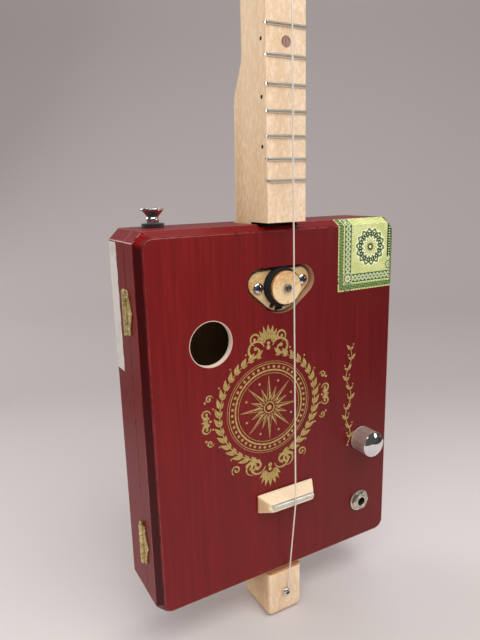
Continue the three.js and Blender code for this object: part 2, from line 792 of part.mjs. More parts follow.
// The string: under the tail screw, over saddle and nut, and round the post
function stringPoints() {
  const loopRadius = tailScrewShank / 2 + seatGap + stringRadius;
  const loopY = panelFaceY - stringRadius - seatGap;
  const loopTurn = (2 / 3) * 2 * Math.PI;
  const loop = shares(loopStepCount / 2).reverse().map((share) => {
    const turn = -share * loopTurn;
    return new THREE.Vector3(loopRadius * Math.cos(turn), loopY, tailScrewZ + loopRadius * Math.sin(turn));
  });
  const clearOfHeadZ = tailScrewZ + tailScrewHeadDiameter / 2 + stringRadius;
  const clearOfHead = new THREE.Vector3(loopRadius, loopY, clearOfHeadZ);
  const rise = (stringNutY - stringSaddleY) / (nutZ - saddleZ);
  const climb = (stringSaddleY - loopY) / (saddleZ - clearOfHeadZ);
  const saddle = [-1, 0, 1].map((side) => {
    const y = stringSaddleY + side * (side < 0 ? climb : rise) * stringBendReach;
    return new THREE.Vector3(0, y, saddleZ + side * stringBendReach);
  });
  const postY = headFaceY - bushingFlangeThickness - postCollarThickness - 2 * moveGap - stringDiameter;
  const fallToPost = (postY - stringNutY) / (postZ - nutZ - nutThickness);
  const nut = [-1, 0, 1].map((side) => {
    const y = stringNutY + side * (side < 0 ? rise : fallToPost) * stringBendReach;
    return new THREE.Vector3(0, y, nutZ + nutThickness / 2 + side * stringBendReach);
  });
  const windRadius = postWaistRadius + seatGap + stringRadius;
  const pitch = stringDiameter + stringTurnGap;
  const wind = shares(stringTurnCount * loopStepCount).map((share) => {
    const turn = share * stringTurnCount * 2 * Math.PI;
    const y = postY - pitch * stringTurnCount * share;
    return new THREE.Vector3(postX + windRadius * Math.cos(turn), y, postZ + windRadius * Math.sin(turn));
  });
  return [...loop, clearOfHead, ...saddle, ...nut, ...wind];
}

// Least distance between stretches of the string more than half a turn apart.
function leastSelfGap(points) {
  let least = Infinity;
  const apart = loopStepCount / 2;
  for (let i = 0; i < points.length; i += 1) {
    for (let j = i + apart; j < points.length; j += 1) {
      least = Math.min(least, points[i].distanceTo(points[j]));
    }
  }
  return least - stringDiameter;
}

function makeString() {
  const points = stringPoints();
  console.log('string: least gap to itself', leastSelfGap(points).toFixed(2), 'mm');
  return tube(points, stringRadius, stringSides);
}

// Screws
function makeTailScrew() {
  const underHead = tailScrewStandoff;
  const shank = tailScrewShank / 2;
  const profile = [[0, -tailScrewLength], [shank, -tailScrewLength + shank], [shank, underHead],
    [tailScrewHeadDiameter / 2, underHead],
    ...domeProfile(tailScrewHeadDiameter / 2, underHead + tailScrewHeadHeight / 3, underHead + tailScrewHeadHeight)];
  const body = toSolid(turned(profile, 'front', 0, panelFaceY, tailScrewZ));
  return cutFrom(body, ...crossCut('front', 0, panelFaceY - underHead - tailScrewHeadHeight, tailScrewZ));
}

function pickupScrewPlace(side) {
  const turn = THREE.MathUtils.degToRad(pickupScrewTilt);
  const reach = (side * pickupScrewSpacing) / 2;
  return [reach * Math.cos(turn), coilZ + pickupScrewRise + reach * Math.sin(turn)];
}

function makePickupScrew(side) {
  const [x, z] = pickupScrewPlace(side);
  const seat = seatGap;
  const shank = pickupScrewShank / 2;
  const profile = [[0, -pickupScrewLength], [shank, -pickupScrewLength + shank], [shank, seat],
    [pickupScrewHeadDiameter / 2, seat],
    ...domeProfile(pickupScrewHeadDiameter / 2, seat + pickupScrewHeadHeight / 3, seat + pickupScrewHeadHeight)];
  const body = toSolid(turned(profile, 'front', x, plateFaceY, z));
  return cutFrom(body, ...crossCut('front', x, plateFaceY - seat - pickupScrewHeadHeight, z));
}

// Pickup
function pickupScrewHoles(y0, y1) {
  const radius = pickupScrewShank / 2 + pilotClearance;
  return [-1, 1].map((side) => rodAlongY(radius, y0, y1, ...pickupScrewPlace(side)));
}

function makePickupBase() {
  const body = toSolid(tiltedPlate(plateFaceY, plateBackY));
  const depths = [plateFaceY - overrun, plateBackY + overrun];
  return cutFrom(body, rodAlongY(poleShank / 2 + seatGap, ...depths, 0, coilZ), ...pickupScrewHoles(...depths));
}

function makePickupCoil() {
  const inner = poleShank / 2 + seatGap;
  const backY = plateFaceY - seatGap;
  const frontY = capFaceY + capThickness + seatGap;
  const length = backY - frontY;
  const swell = length / (2 * cornerSteps);
  const profile = [[inner, 0], [coilRadius - swell, 0], [coilRadius, swell], [coilRadius, length - swell],
    [coilRadius - swell, length], [inner, length], [inner, 0]];
  return turned(profile, 'front', 0, backY, coilZ, fineSides);
}

function makePickupCap() {
  const inner = poleShank / 2 + seatGap;
  const edge = faceEdge / 2;
  const profile = [[inner, 0], [capRadius, 0], [capRadius, capThickness - edge], [capRadius - edge, capThickness],
    [inner, capThickness], [inner, 0]];
  return turned(profile, 'front', 0, capFaceY + capThickness, coilZ, fineSides);
}

function makePoleScrew() {
  const length = plateBackY - capFaceY - seatGap;
  const profile = [[0, -length], [poleShank / 2, -length], [poleShank / 2, seatGap], [poleHeadDiameter / 2, seatGap],
    ...domeProfile(poleHeadDiameter / 2, seatGap + poleHeadHeight / 3, seatGap + poleHeadHeight)];
  return turned(profile, 'front', 0, capFaceY, coilZ);
}

function makePickupMagnet() {
  return rodAlongY(magnetDiameter / 2, plateBackY + seatGap, plateBackY + seatGap + magnetThickness, 0, coilZ);
}

function makePickupCarrier() {
  const halfWidth = carrierWidth / 2;
  const halfHeight = carrierHeight / 2;
  const frontY = plateBackY + seatGap;
  const shelfY = collarBackY + seatGap;
  const body = joined(tiltedPlate(frontY, shelfY + seatGap), block(-halfWidth, halfWidth, shelfY, carrierBackY,
    carrierMidZ - halfHeight, carrierMidZ + halfHeight));
  const pocket = rodAlongY(magnetDiameter / 2 + seatGap, frontY - overrun, frontY + magnetThickness + seatGap, 0, coilZ);
  return cutFrom(body, pocket, ...pickupScrewHoles(frontY - overrun, carrierBackY - seatGap));
}

// Volume control
function makeKnob() {
  const flute = (2 * Math.PI) / knobFluteCount;
  const radius = knobDiameter / 2;
  const outline = new THREE.Shape();
  const rim = Array.from({ length: 2 * knobFluteCount }, (_, i) => {
    const reach = i % 2 ? radius - knobFluteDepth : radius;
    return new THREE.Vector2(controlX + reach * Math.cos((i * flute) / 2), knobZ + reach * Math.sin((i * flute) / 2));
  });
  outline.setFromPoints(rim);
  const baseY = panelFaceY - knobLift;
  const fluted = toSolid(plate(outline, baseY - knobHeight + knobDome, baseY - knobSkirtHeight));
  const topRadius = radius - knobFluteDepth;
  const skirt = toSolid(turned([[0, 0], [radius, 0], [radius, knobSkirtHeight], [topRadius, knobSkirtHeight],
    [topRadius, knobHeight - knobDome], ...domeProfile(topRadius, knobHeight - knobDome, knobHeight).slice(1)],
  'front', controlX, baseY, knobZ, fineSides));
  const boreEndY = panelFaceY - shaftReach - moveGap;
  return cutFrom(
    skirt.add(fluted),
    rodAlongY(knobRecessRadius, baseY - knobRecessDepth, baseY + overrun, controlX, knobZ),
    rodAlongY(shaftDiameter / 2 + runGap, boreEndY, baseY + overrun, controlX, knobZ),
  );
}

function makePotShaft() {
  const backY = panelBackY + potDepth / 2;
  return rodAlongY(shaftDiameter / 2, panelFaceY - shaftReach, backY, controlX, knobZ);
}

function makePotBody() {
  const frontY = panelBackY + seatGap;
  const can = rodAlongY(potRadius, frontY, frontY + potDepth, controlX, knobZ);
  const bush = rodAlongY(potBushRadius, panelFaceY - potBushReach, frontY + overrun, controlX, knobZ);
  const lugs = [-1, 0, 1].map((place) => {
    const z = knobZ + place * potLugSpacing;
    const x = controlX - potRadius;
    return block(x - potLugLength, x + overrun, frontY, frontY + potLugThickness, z - potLugWidth / 2,
      z + potLugWidth / 2);
  });
  const bore = rodAlongY(shaftDiameter / 2 + runGap, panelFaceY - potBushReach - overrun,
    panelBackY + potDepth / 2 + runGap, controlX, knobZ);
  return cutFrom(joined(can, bush, ...lugs), bore);
}

function makePotNut() {
  const backY = panelFaceY - seatGap;
  const body = toSolid(plate(hexOutline(potNutFlats, controlX, knobZ), backY - potNutThickness, backY));
  return cutFrom(body, rodAlongY(potBushRadius + seatGap, backY - potNutThickness - overrun, backY + overrun,
    controlX, knobZ));
}

// Output jack
function makeJackBody() {
  const flangeY = panelBackY + seatGap;
  const sleeve = rodAlongY(jackThreadRadius, panelFaceY - jackThreadReach, flangeY + overrun, controlX, jackZ);
  const flange = rodAlongY(jackFlangeRadius, flangeY, flangeY + jackFlangeThickness, controlX, jackZ);
  const springs = [-1, 1].map((side) => {
    const x = controlX + side * jackSpringStand;
    const halfThickness = jackSpringThickness / 2;
    return block(x - halfThickness, x + halfThickness, flangeY + jackFlangeThickness / 2,
      flangeY + jackSpringLength, jackZ - jackSpringWidth / 2, jackZ + jackSpringWidth / 2);
  });
  const bore = rodAlongY(jackBore / 2, panelFaceY - jackThreadReach - overrun, flangeY + jackSpringLength,
    controlX, jackZ);
  return cutFrom(joined(sleeve, flange, ...springs), bore);
}

function makeJackNut() {
  const backY = panelFaceY - seatGap;
  const washer = rodAlongY(jackWasherRadius, backY - jackWasherThickness, backY, controlX, jackZ, fineSides);
  const hex = plate(hexOutline(jackNutFlats, controlX, jackZ), backY - jackWasherThickness - jackNutThickness,
    backY - jackWasherThickness / 2);
  const bore = rodAlongY(jackThreadRadius + seatGap, panelFaceY - jackThreadReach - overrun, panelFaceY,
    controlX, jackZ);
  return cutFrom(joined(washer, hex), bore);
}

// Leads, each from one terminal to the next along its own route
function leadTube(route) {
  const curve = new THREE.CatmullRomCurve3(route, false, 'centripetal');
  const stepCount = Math.ceil(curve.getLength() / (2.5 * leadDiameter));
  return tube(curve.getSpacedPoints(stepCount), leadDiameter / 2, leadSides);
}

// Places along a lead as shares of its span, and of how far it bows.
const pickupLeadShares = [[0, 0, 0], [0, 0, 0.06], [0.03, 0.25, 0.16], [0.12, 0.6, 0.34], [0.25, 0.85, 0.56],
  [0.34, 0.9, 0.76], [0.46, 0.85, 0.9], [0.73, 0.4, 0.985], [0.88, 0.1, 1], [1, 0, 1]];
const jackLeadShares = [[0, 0, 0], [0.35, 0.02, 0], [0.8, 0.25, 0.08], [1, 0.65, 0.3], [0.85, 1.25, 0.6],
  [0.5, 1.6, 0.85], [0.15, 1.6, 0.98], [0, 1.4, 1], [0, 1.2, 1], [0, 1, 1]];

function potLugEnd(lugZ) {
  const lugX = controlX - potRadius - potLugLength - moveGap;
  return new THREE.Vector3(lugX, panelBackY + seatGap + leadDiameter / 2, lugZ);
}

function makePickupLead() {
  const startX = (halfStick + carrierWidth / 2) / 2;
  const startZ = carrierMidZ - carrierHeight / 2 - moveGap;
  const start = new THREE.Vector3(startX, (plateBackY + carrierBackY) / 2, startZ);
  const end = potLugEnd(knobZ + potLugSpacing);
  return leadTube(pickupLeadShares.map(([across, bow, down]) => new THREE.Vector3(
    between(start.x, end.x, across), between(start.y, end.y, down) + bow * pickupLeadBow,
    between(start.z, end.z, down))));
}

function makeJackLead() {
  const start = potLugEnd(knobZ - potLugSpacing);
  const end = new THREE.Vector3(controlX - jackSpringStand, panelBackY + seatGap + jackSpringLength + moveGap, jackZ);
  return leadTube(jackLeadShares.map(([bow, deep, down]) => new THREE.Vector3(
    between(start.x, end.x, down) - bow * jackLeadBow, between(start.y, end.y, deep),
    between(start.z, end.z, down))));
}

// Strap button
function makeStrapFelt() {
  const inner = buttonScrewShank / 2 + seatGap;
  const top = seatGap + feltThickness;
  const profile = [[inner, seatGap], [feltRadius, seatGap], [feltRadius, top], [inner, top], [inner, seatGap]];
  return turned(profile, 'up', buttonX, splitY + buttonSetback, boxTopZ, fineSides);
}

function makeStrapButton() {
  const foot = 2 * seatGap + feltThickness;
  const inner = buttonScrewShank / 2 + seatGap;
  const top = foot + buttonHeight;
  const profile = [
    [inner, foot], [buttonFootRadius, foot], [buttonFootRadius, foot + buttonFootHeight],
    [buttonWaistRadius, foot + 2 * buttonFootHeight],
    [buttonRimRadius, top - buttonRimHeight], [buttonRimRadius, top - buttonRimHeight / 2],
    [buttonRimRadius - buttonRimHeight / 2, top], [buttonCupRadius, top], [buttonCupRadius, top - buttonCupDepth],
    [inner, top - buttonCupDepth], [inner, foot],
  ];
  return turned(profile, 'up', buttonX, splitY + buttonSetback, boxTopZ, fineSides);
}

function makeStrapScrew() {
  const underHead = 3 * seatGap + feltThickness + buttonHeight - buttonCupDepth;
  const headRadius = buttonCupRadius - moveGap;
  const headHeight = buttonCupDepth - moveGap;
  const shank = buttonScrewShank / 2;
  const profile = [[0, -buttonScrewDepth], [shank, -buttonScrewDepth + shank], [shank, underHead],
    [headRadius, underHead], ...domeProfile(headRadius, underHead + headHeight / 3, underHead + headHeight)];
  const [x, y] = [buttonX, splitY + buttonSetback];
  const body = toSolid(turned(profile, 'up', x, y, boxTopZ));
  return cutFrom(body, ...crossCut('up', x, y, boxTopZ + underHead + headHeight));
}

// Hinges: the leaf outline is seen from the box's left side
function leafOutline(side, middleZ) {
  const half = hingeLength / 2;
  const root = hingeKnuckleRadius + hingeKnuckleGap;
  const scallopReach = (side < 0 ? hingeLidReach : hingeTrayReach) - hingeLeafShoulder;
  const lobe = shares(4 * cornerSteps).map((share) => {
    const place = (2 * share - 1) * half;
    const middle = Math.max(0, 1 - Math.abs(place) / (half / 2)) ** (1 / 2);
    const ripple = Math.abs(Math.sin((place / half) * 2 * Math.PI)) * (scallopReach / 4);
    const atEnd = Math.abs(share - 1 / 2) === 1 / 2;
    return [side * (hingeLeafShoulder + scallopReach * middle - (atEnd ? scallopReach / 2 : ripple)), middleZ + place];
  });
  return [[side * root, middleZ - half], ...lobe, [side * root, middleZ + half]];
}

function makeHingeLeaf(side, middleZ) {
  const innerX = -boxSideX - seatGap;
  const outline = new THREE.Shape();
  outline.setFromPoints(leafOutline(side, middleZ).map(([y, z]) => new THREE.Vector2(splitY + y, z)));
  const leaf = new THREE.ExtrudeGeometry(outline, { depth: hingeLeafThickness, bevelEnabled: false });
  leaf.rotateZ(Math.PI / 2).rotateY(Math.PI / 2);
  leaf.translate(innerX - hingeLeafThickness, 0, 0);
  const knuckle = hingeLength / hingeKnuckleCount;
  const ownFirst = side < 0 ? 0 : 1;
  const parts = [];
  for (let i = ownFirst; i < hingeKnuckleCount; i += 2) {
    const z0 = middleZ - hingeLength / 2 + i * knuckle + hingeKnuckleGap / 2;
    const z1 = z0 + knuckle - hingeKnuckleGap;
    const root = hingeKnuckleRadius + 2 * hingeKnuckleGap;
    const tongue = [splitY, splitY + side * root].sort((a, b) => a - b);
    parts.push(rodAlongZ(hingeKnuckleRadius, z0, z1, hingeAxisX, splitY));
    parts.push(block(innerX - hingeLeafThickness, innerX, ...tongue, z0, z1));
  }
  const bore = rodAlongZ(hingePinRadius + runGap, middleZ - hingeLength, middleZ + hingeLength, hingeAxisX, splitY);
  return cutFrom(joined(leaf, ...parts), bore);
}

function makeHingePin(middleZ, hasBall) {
  const half = hingeLength / 2;
  const neckZ = middleZ + half + (hasBall ? hingeBallNeck : 0);
  const shank = rodAlongZ(hingePinRadius, middleZ - half, neckZ, hingeAxisX, splitY);
  if (!hasBall) return joined(shank);
  const ball = new THREE.SphereGeometry(hingeBallRadius, plainSides / 2, 2 * cornerSteps);
  ball.translate(hingeAxisX, splitY, middleZ + half + hingeBallRadius + seatGap);
  return joined(shank, ball);
}

// Tuner
function makeTunerPost() {
  const backEnd = gearThickness + gearY + seatGap;
  const collarTop = bushingFlangeThickness + seatGap + moveGap;
  const waistStart = collarTop + postCollarThickness;
  const waistEnd = waistStart + postWaistLength;
  const fromFace = (y) => headFaceY - y;
  const profile = [
    [0, fromFace(backEnd + postCollarThickness)],
    [gearSeatRadius + moveGap, fromFace(backEnd + postCollarThickness)], [gearSeatRadius + moveGap, fromFace(backEnd)],
    [gearSeatRadius, fromFace(backEnd)], [gearSeatRadius, fromFace(gearY - seatGap)],
    [postWaistRadius, fromFace(gearY - seatGap)], [postWaistRadius, collarTop], [postHeadRadius, collarTop],
    [postHeadRadius, waistStart], [postWaistRadius, waistStart], [postWaistRadius, waistEnd],
    [postHeadRadius, waistEnd + postHeadThickness / 3],
    ...domeProfile(postHeadRadius, waistEnd + (2 * postHeadThickness) / 3, waistEnd + postHeadThickness),
  ];
  const body = toSolid(turned(profile, 'front', postX, headFaceY, postZ));
  const holeY = headFaceY - waistEnd + 2 * postHoleRadius;
  return cutFrom(body, rodAlongX(postHoleRadius, postX - 2 * postHeadRadius, postX + 2 * postHeadRadius, holeY, postZ));
}

function makeTunerGear() {
  const tip = gearPitchRadius + gearToothRise;
  const root = gearPitchRadius - gearToothFall;
  const toothTurn = (2 * Math.PI) / gearToothCount;
  const outline = new THREE.Shape();
  const points = [];
  for (let i = 0; i < gearToothCount; i += 1) {
    const middle = -Math.PI / 2 + (i + 1 / 2) * toothTurn;
    [[root, -gearRootHalf], [tip, -gearTipHalf], [tip, gearTipHalf], [root, gearRootHalf]].forEach(([reach, half]) => {
      const turn = middle + half / reach;
      points.push(new THREE.Vector2(postX + reach * Math.cos(turn), postZ + reach * Math.sin(turn)));
    });
  }
  outline.setFromPoints(points);
  const body = toSolid(plate(outline, gearY, gearY + gearThickness));
  const bore = rodAlongY(gearSeatRadius + runGap, gearY - overrun, gearY + gearThickness + overrun, postX, postZ);
  return cutFrom(body, bore);
}

function wormThreadPoints() {
  const stepCount = wormThreadTurnCount * loopStepCount / 2;
  return shares(stepCount).map((share) => {
    const turns = (share - 1 / 2) * wormThreadTurnCount;
    const turn = turns * 2 * Math.PI;
    const reach = wormPitchRadius - wormThreadRadius / 4;
    return new THREE.Vector3(postX + turns * wormLead, wormY + reach * Math.sin(turn), wormZ + reach * Math.cos(turn));
  });
}

function makeTunerKey() {
  const leftX = postX - wormHalfLength - lugThickness - 3 * moveGap;
  const paddleX = halfStick + buttonKeyGap;
  const shaft = rodAlongX(keyShaftRadius, leftX, paddleX + keyCollarLength, wormY, wormZ);
  const core = rodAlongX(wormCoreRadius, postX - wormHalfLength, postX + wormHalfLength, wormY, wormZ);
  const thread = tube(wormThreadPoints(), wormThreadRadius, stringSides);
  const collar = rodAlongX(keyCollarRadius, paddleX, paddleX + keyCollarLength, wormY, wormZ);
  const paddle = new THREE.SphereGeometry(1, plainSides, 2 * cornerSteps + 2);
  paddle.scale(keyButtonLength / 2, keyButtonHalfThickness, keyButtonHalfWidth);
  paddle.translate(paddleX + keyCollarLength / 2 + keyButtonLength / 2, wormY, wormZ);
  return joined(shaft, core, thread, collar, paddle);
}

function makeTunerPlate() {
  const frontY = headBackY + seatGap;
  const backY = frontY + tunerPlateThickness;
  const sheet = block(postX - tunerPlateHalfWidth + lugThickness, postX + tunerPlateHalfWidth, frontY, backY,
    postZ - tunerPlateBottom, postZ + tunerPlateTop);
  const lugs = [-1, 1].map((side) => {
    const inner = postX + side * (wormHalfLength + moveGap);
    const faces = [inner, inner + side * lugThickness].sort((a, b) => a - b);
    return block(...faces, frontY, wormY + lugProud, wormZ - lugHalfHeight, wormZ + lugHalfHeight);
  });
  const shaftHole = rodAlongX(keyShaftRadius + runGap, postX - 2 * wormHalfLength, postX + 2 * wormHalfLength,
    wormY, wormZ);
  const postHole = rodAlongY(postWaistRadius + runGap, frontY - overrun, backY + overrun, postX, postZ);
  return cutFrom(joined(sheet, ...lugs), shaftHole, postHole);
}

function makeTunerBushing() {
  const inner = postWaistRadius + runGap;
  const top = seatGap + bushingFlangeThickness;
  const profile = [[inner, -bushingTubeDepth], [bushingTubeRadius, -bushingTubeDepth], [bushingTubeRadius, seatGap],
    [bushingFlangeRadius, seatGap], [bushingFlangeRadius, top - seatGap], [bushingFlangeRadius - seatGap, top],
    [inner, top], [inner, -bushingTubeDepth]];
  return turned(profile, 'front', postX, headFaceY, postZ);
}

// The object
const guitar = new THREE.Group();

function addPiece(name, shape, finish) {
  const solid = shape.isBufferGeometry ? toSolid(shape) : shape;
  const mesh = new THREE.Mesh(toGeometry(solid), new THREE.MeshStandardMaterial(finishes[finish]));
  mesh.name = name;
  guitar.add(mesh);
}

addPiece('lid_panel', makeLidPanel(), 'redLacquer');
addPiece('lid_rim', makeLidRim(), 'redLacquer');
addPiece('tray_frame', makeTrayFrame(), 'redLacquer');
addPiece('back_panel', makeBackPanel(), 'redLacquer');
addPiece('neck', makeNeck(), 'maple');
fretPlaces().forEach((z, i) => {
  addPiece(`fret_${String(i + 1).padStart(2, '0')}`, makeFret(z), 'nickel');
});
addPiece('nut', makeNut(), 'bone');
addPiece('string', makeString(), 'steel');
addPiece('bridge', makeBridge(), 'maple');
addPiece('saddle_rod', makeSaddle(), 'steel');
addPiece('tail_screw', makeTailScrew(), 'chrome');
['lower', 'upper'].forEach((level, i) => {
  const middleZ = boxMidZ - hingeDrop + (i - 1 / 2) * hingeSpacing;
  addPiece(`hinge_${level}_lid_leaf`, makeHingeLeaf(-1, middleZ), 'oldBrass');
  addPiece(`hinge_${level}_tray_leaf`, makeHingeLeaf(1, middleZ), 'oldBrass');
  addPiece(`hinge_${level}_pin`, makeHingePin(middleZ, level === 'lower'), 'oldBrass');
});
addPiece('pickup_base', makePickupBase(), 'maple');
addPiece('pickup_coil', makePickupCoil(), 'clothTape');
addPiece('pickup_cap', makePickupCap(), 'maple');
addPiece('pickup_pole_screw', makePoleScrew(), 'steel');
addPiece('pickup_magnet', makePickupMagnet(), 'ferrite');
addPiece('pickup_carrier', makePickupCarrier(), 'maple');
addPiece('pickup_screw_left', makePickupScrew(-1), 'chrome');
addPiece('pickup_screw_right', makePickupScrew(1), 'chrome');
addPiece('pickup_lead', makePickupLead(), 'greyLead');
addPiece('volume_knob', makeKnob(), 'chrome');
addPiece('pot_shaft', makePotShaft(), 'nickel');
addPiece('pot_body', makePotBody(), 'nickel');
addPiece('pot_nut', makePotNut(), 'nickel');
addPiece('jack_body', makeJackBody(), 'nickel');
addPiece('jack_nut', makeJackNut(), 'nickel');
addPiece('jack_lead', makeJackLead(), 'greyLead');
addPiece('strap_button', makeStrapButton(), 'chrome');
addPiece('strap_felt', makeStrapFelt(), 'felt');
addPiece('strap_screw', makeStrapScrew(), 'chrome');
addPiece('tuner_plate', makeTunerPlate(), 'nickel');
addPiece('tuner_key', makeTunerKey(), 'chrome');
addPiece('tuner_gear', makeTunerGear(), 'oldBrass');
addPiece('tuner_post', makeTunerPost(), 'chrome');
addPiece('tuner_bushing', makeTunerBushing(), 'chrome');

export default guitar;
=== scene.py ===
import json
from math import atan2, cos, hypot, pi, radians, sin, sqrt

import bmesh
import bpy
from mathutils import Matrix, Vector


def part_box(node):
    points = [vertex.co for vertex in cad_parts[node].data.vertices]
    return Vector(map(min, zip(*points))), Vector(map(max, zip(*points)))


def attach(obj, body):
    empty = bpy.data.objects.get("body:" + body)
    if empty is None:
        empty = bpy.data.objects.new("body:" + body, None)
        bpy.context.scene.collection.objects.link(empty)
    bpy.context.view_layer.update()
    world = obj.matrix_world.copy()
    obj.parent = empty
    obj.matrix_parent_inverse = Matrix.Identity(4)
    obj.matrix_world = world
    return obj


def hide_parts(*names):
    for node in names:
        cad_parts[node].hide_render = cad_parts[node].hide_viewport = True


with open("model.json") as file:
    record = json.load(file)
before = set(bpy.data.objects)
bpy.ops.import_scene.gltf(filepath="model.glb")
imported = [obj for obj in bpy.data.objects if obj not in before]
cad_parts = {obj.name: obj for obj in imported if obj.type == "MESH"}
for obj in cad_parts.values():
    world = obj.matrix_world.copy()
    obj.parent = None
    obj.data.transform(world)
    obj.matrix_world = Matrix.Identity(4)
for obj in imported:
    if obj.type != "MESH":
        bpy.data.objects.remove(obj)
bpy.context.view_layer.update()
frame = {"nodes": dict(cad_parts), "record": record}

print("frame loaded:", len(frame["nodes"]), "nodes")


def operator(operation, reflected=False):
    def work(self, other=0.0):
        return self.paint.maths(operation, *((other, self) if reflected else (self, other)))
    return work


# Shader sockets that take part in sums.
class Wire:
    __add__ = __radd__ = operator("ADD")
    __sub__, __rsub__ = operator("SUBTRACT"), operator("SUBTRACT", True)
    __mul__ = __rmul__ = operator("MULTIPLY")
    __pow__, __rpow__ = operator("POWER"), operator("POWER", True)
    __abs__ = operator("ABSOLUTE")

    def __init__(self, paint, socket):
        self.paint = paint
        self.socket = socket

    def step(self, low, high):  # smoothly from 0 at low to 1 at high
        sockets = {"Value": self, "From Min": low, "From Max": high}
        return self.paint.node("ShaderNodeMapRange", {"interpolation_type": "SMOOTHSTEP"}, sockets)

    def within(self, low, high, soft=0.0002):  # 1 between low and high
        return self.step(low, low + soft) * self.step(high, high - soft)


class Paint:
    def __init__(self, name, shader="Principled BSDF", **constants):
        self.owner = (bpy.data.worlds if shader == "Background" else bpy.data.materials).new(name)
        self.owner.use_nodes = True
        self.tree = self.owner.node_tree
        self.shader = self.tree.nodes[shader]
        for label, value in constants.items():
            self.shader.inputs[label.replace("_", " ")].default_value = value

    # Any node: its type, its settings, then the values or links of its sockets.
    def node(self, kind, settings=None, sockets=None, out=0):
        made = self.tree.nodes.new(kind)
        for name, value in (settings or {}).items():
            if name == "stops":
                self.setStops(made.color_ramp, value)
            else:
                setattr(made, name, value)
        for name, value in (sockets or {}).items():
            self.feed(made.inputs[name], value)
        return Wire(self, made.outputs[out])

    def setStops(self, ramp, stops):
        while len(ramp.elements) < len(stops):
            ramp.elements.new(0.5)
        for element, (place, colour) in zip(ramp.elements, stops):
            element.position = place
            element.color = solid(colour)

    def feed(self, socket, value):
        if isinstance(value, Wire):
            self.tree.links.new(value.socket, socket)
        else:
            socket.default_value = value

    def maths(self, operation, a, b=0.0):
        return self.node("ShaderNodeMath", {"operation": operation}, {0: a, 1: b})

    def mix(self, share, a, b, blend="MIX"):
        settings = {"data_type": "RGBA", "blend_type": blend}
        return self.node("ShaderNodeMix", settings, {0: share, 6: solid(a), 7: solid(b)}, 2)

    def over(self, share, colour):  # lays a colour over what is there
        self.colour = self.mix(share, self.colour, colour)

    def place(self):
        return self.node("ShaderNodeTexCoord", out="Object")

    def axes(self):
        split = self.node("ShaderNodeSeparateXYZ", sockets={0: self.place()})
        return [Wire(self, socket) for socket in split.socket.node.outputs]

    def trueNormal(self, axis):
        normal = self.node("ShaderNodeNewGeometry", out="True Normal")
        return self.node("ShaderNodeSeparateXYZ", sockets={0: normal}, out=axis)

    def stretched(self, *scale):
        return self.node("ShaderNodeMapping", sockets={"Vector": self.place(), "Scale": scale})

    def noise(self, scale, detail, rough, stretch=(1, 1, 1)):
        sockets = {"Vector": self.stretched(*stretch), "Scale": scale, "Detail": detail, "Roughness": rough}
        return self.node("ShaderNodeTexNoise", sockets=sockets)

    def ramp(self, value, stops):
        return self.node("ShaderNodeValToRGB", {"stops": stops}, {0: value})

    def link(self, name, value):
        self.feed(self.shader.inputs[name], value)

    # What every material ends with: colour, roughness and the relief of its grain.
    def coat(self, roughness, height, depth, strength):
        self.link("Base Color", self.colour)
        self.link("Roughness", roughness)
        sockets = {"Height": height, "Distance": depth, "Strength": strength}
        self.link("Normal", self.node("ShaderNodeBump", sockets=sockets))
        return self.owner


def solid(colour):  # a screen colour such as "7a2226", made linear; anything else stays as it is
    if not isinstance(colour, str):
        return colour
    parts = [int(colour[i:i + 2], 16) / 255 for i in (0, 2, 4)]
    return (*[c / 12.92 if c <= 0.04045 else ((c + 0.055) / 1.055) ** 2.4 for c in parts], 1)


# Woods
mapleLook = dict(
    pale="e8ccac", warm="e4c6a3", streak="dbb993", endGrain="c0702c", endDark="a0561d", fleck="f7e4ca", pore="d6a97f",
    # the last colour is the painted shade deep in the slot under the heel
    side="f8f1e0", slotShade="150a06")
sheetLook = dict(
    mapleLook, pale="ecd0a2", warm="e2bb82", streak="c98f52", endGrain="b5682a", endDark="8f4a18", fleck="f0d9b0",
    pore="c48c54")
# a paler copy of the maple, for the bridge and the pickup carrier: painted light for the bridge's brightly lit top
bridgeLitLook = dict(mapleLook, pale="fbe6c8", warm="f4dab6", streak="ebcfa8", pore="eacda8")
heelSlot = dict(front=-0.0143, back=-0.0037, below=0.009, above=0.0012)


def makeMaple(name, look, axis="Z", ends=0.85, boxTop=None):
    paint = Paint(name)
    along = lambda share: [share if letter == axis else 1 for letter in "XYZ"]
    broad = paint.noise(55, 4, 0.5, along(0.06))
    fine = paint.noise(900, 3, 0.6, along(0.03))
    curl = paint.noise(420, 2, 0.5, along(0.45))
    speckle = paint.noise(1500, 2, 0.6, along(0.45))
    sideways = abs(paint.trueNormal("X")).step(0.5, 0.8)  # the sides show a calmer cut
    paint.colour = paint.ramp(broad, [(0.3, look["streak"]), (0.45, look["warm"]), (0.6, look["pale"])])
    paint.over(curl.step(0.48, 0.62) * 0.45, look["fleck"])
    paint.over(speckle.step(0.5, 0.64) * (0.5 - sideways * 0.32), look["pore"])
    paint.over(sideways, paint.mix(1.0, paint.colour, look["side"], "MULTIPLY"))
    paint.over(fine.step(0.6, 0.75) * 0.2, look["streak"])
    rings = paint.node("ShaderNodeTexWave", {"wave_type": "RINGS", "rings_direction": "Z"}, {
        "Vector": paint.place(), "Scale": 90, "Distortion": 4.0, "Detail": 2.0}, 1)
    endGrain = abs(paint.trueNormal(axis)).step(0.8, 0.97)
    paint.over(endGrain * ends, paint.mix(rings * 0.6, look["endGrain"], look["endDark"]))
    if boxTop:  # painted shade: dark colour deep in the slot under the heel, where shade falls
        x, y, z = paint.axes()
        low, high = boxTop - heelSlot["below"], boxTop + heelSlot["above"]
        deep = y.within(heelSlot["front"], heelSlot["back"]) * z.within(low, high)
        paint.over(deep, look["slotShade"])
    return paint.coat(0.42 + broad * 0.2, fine, 0.00012, 0.35)


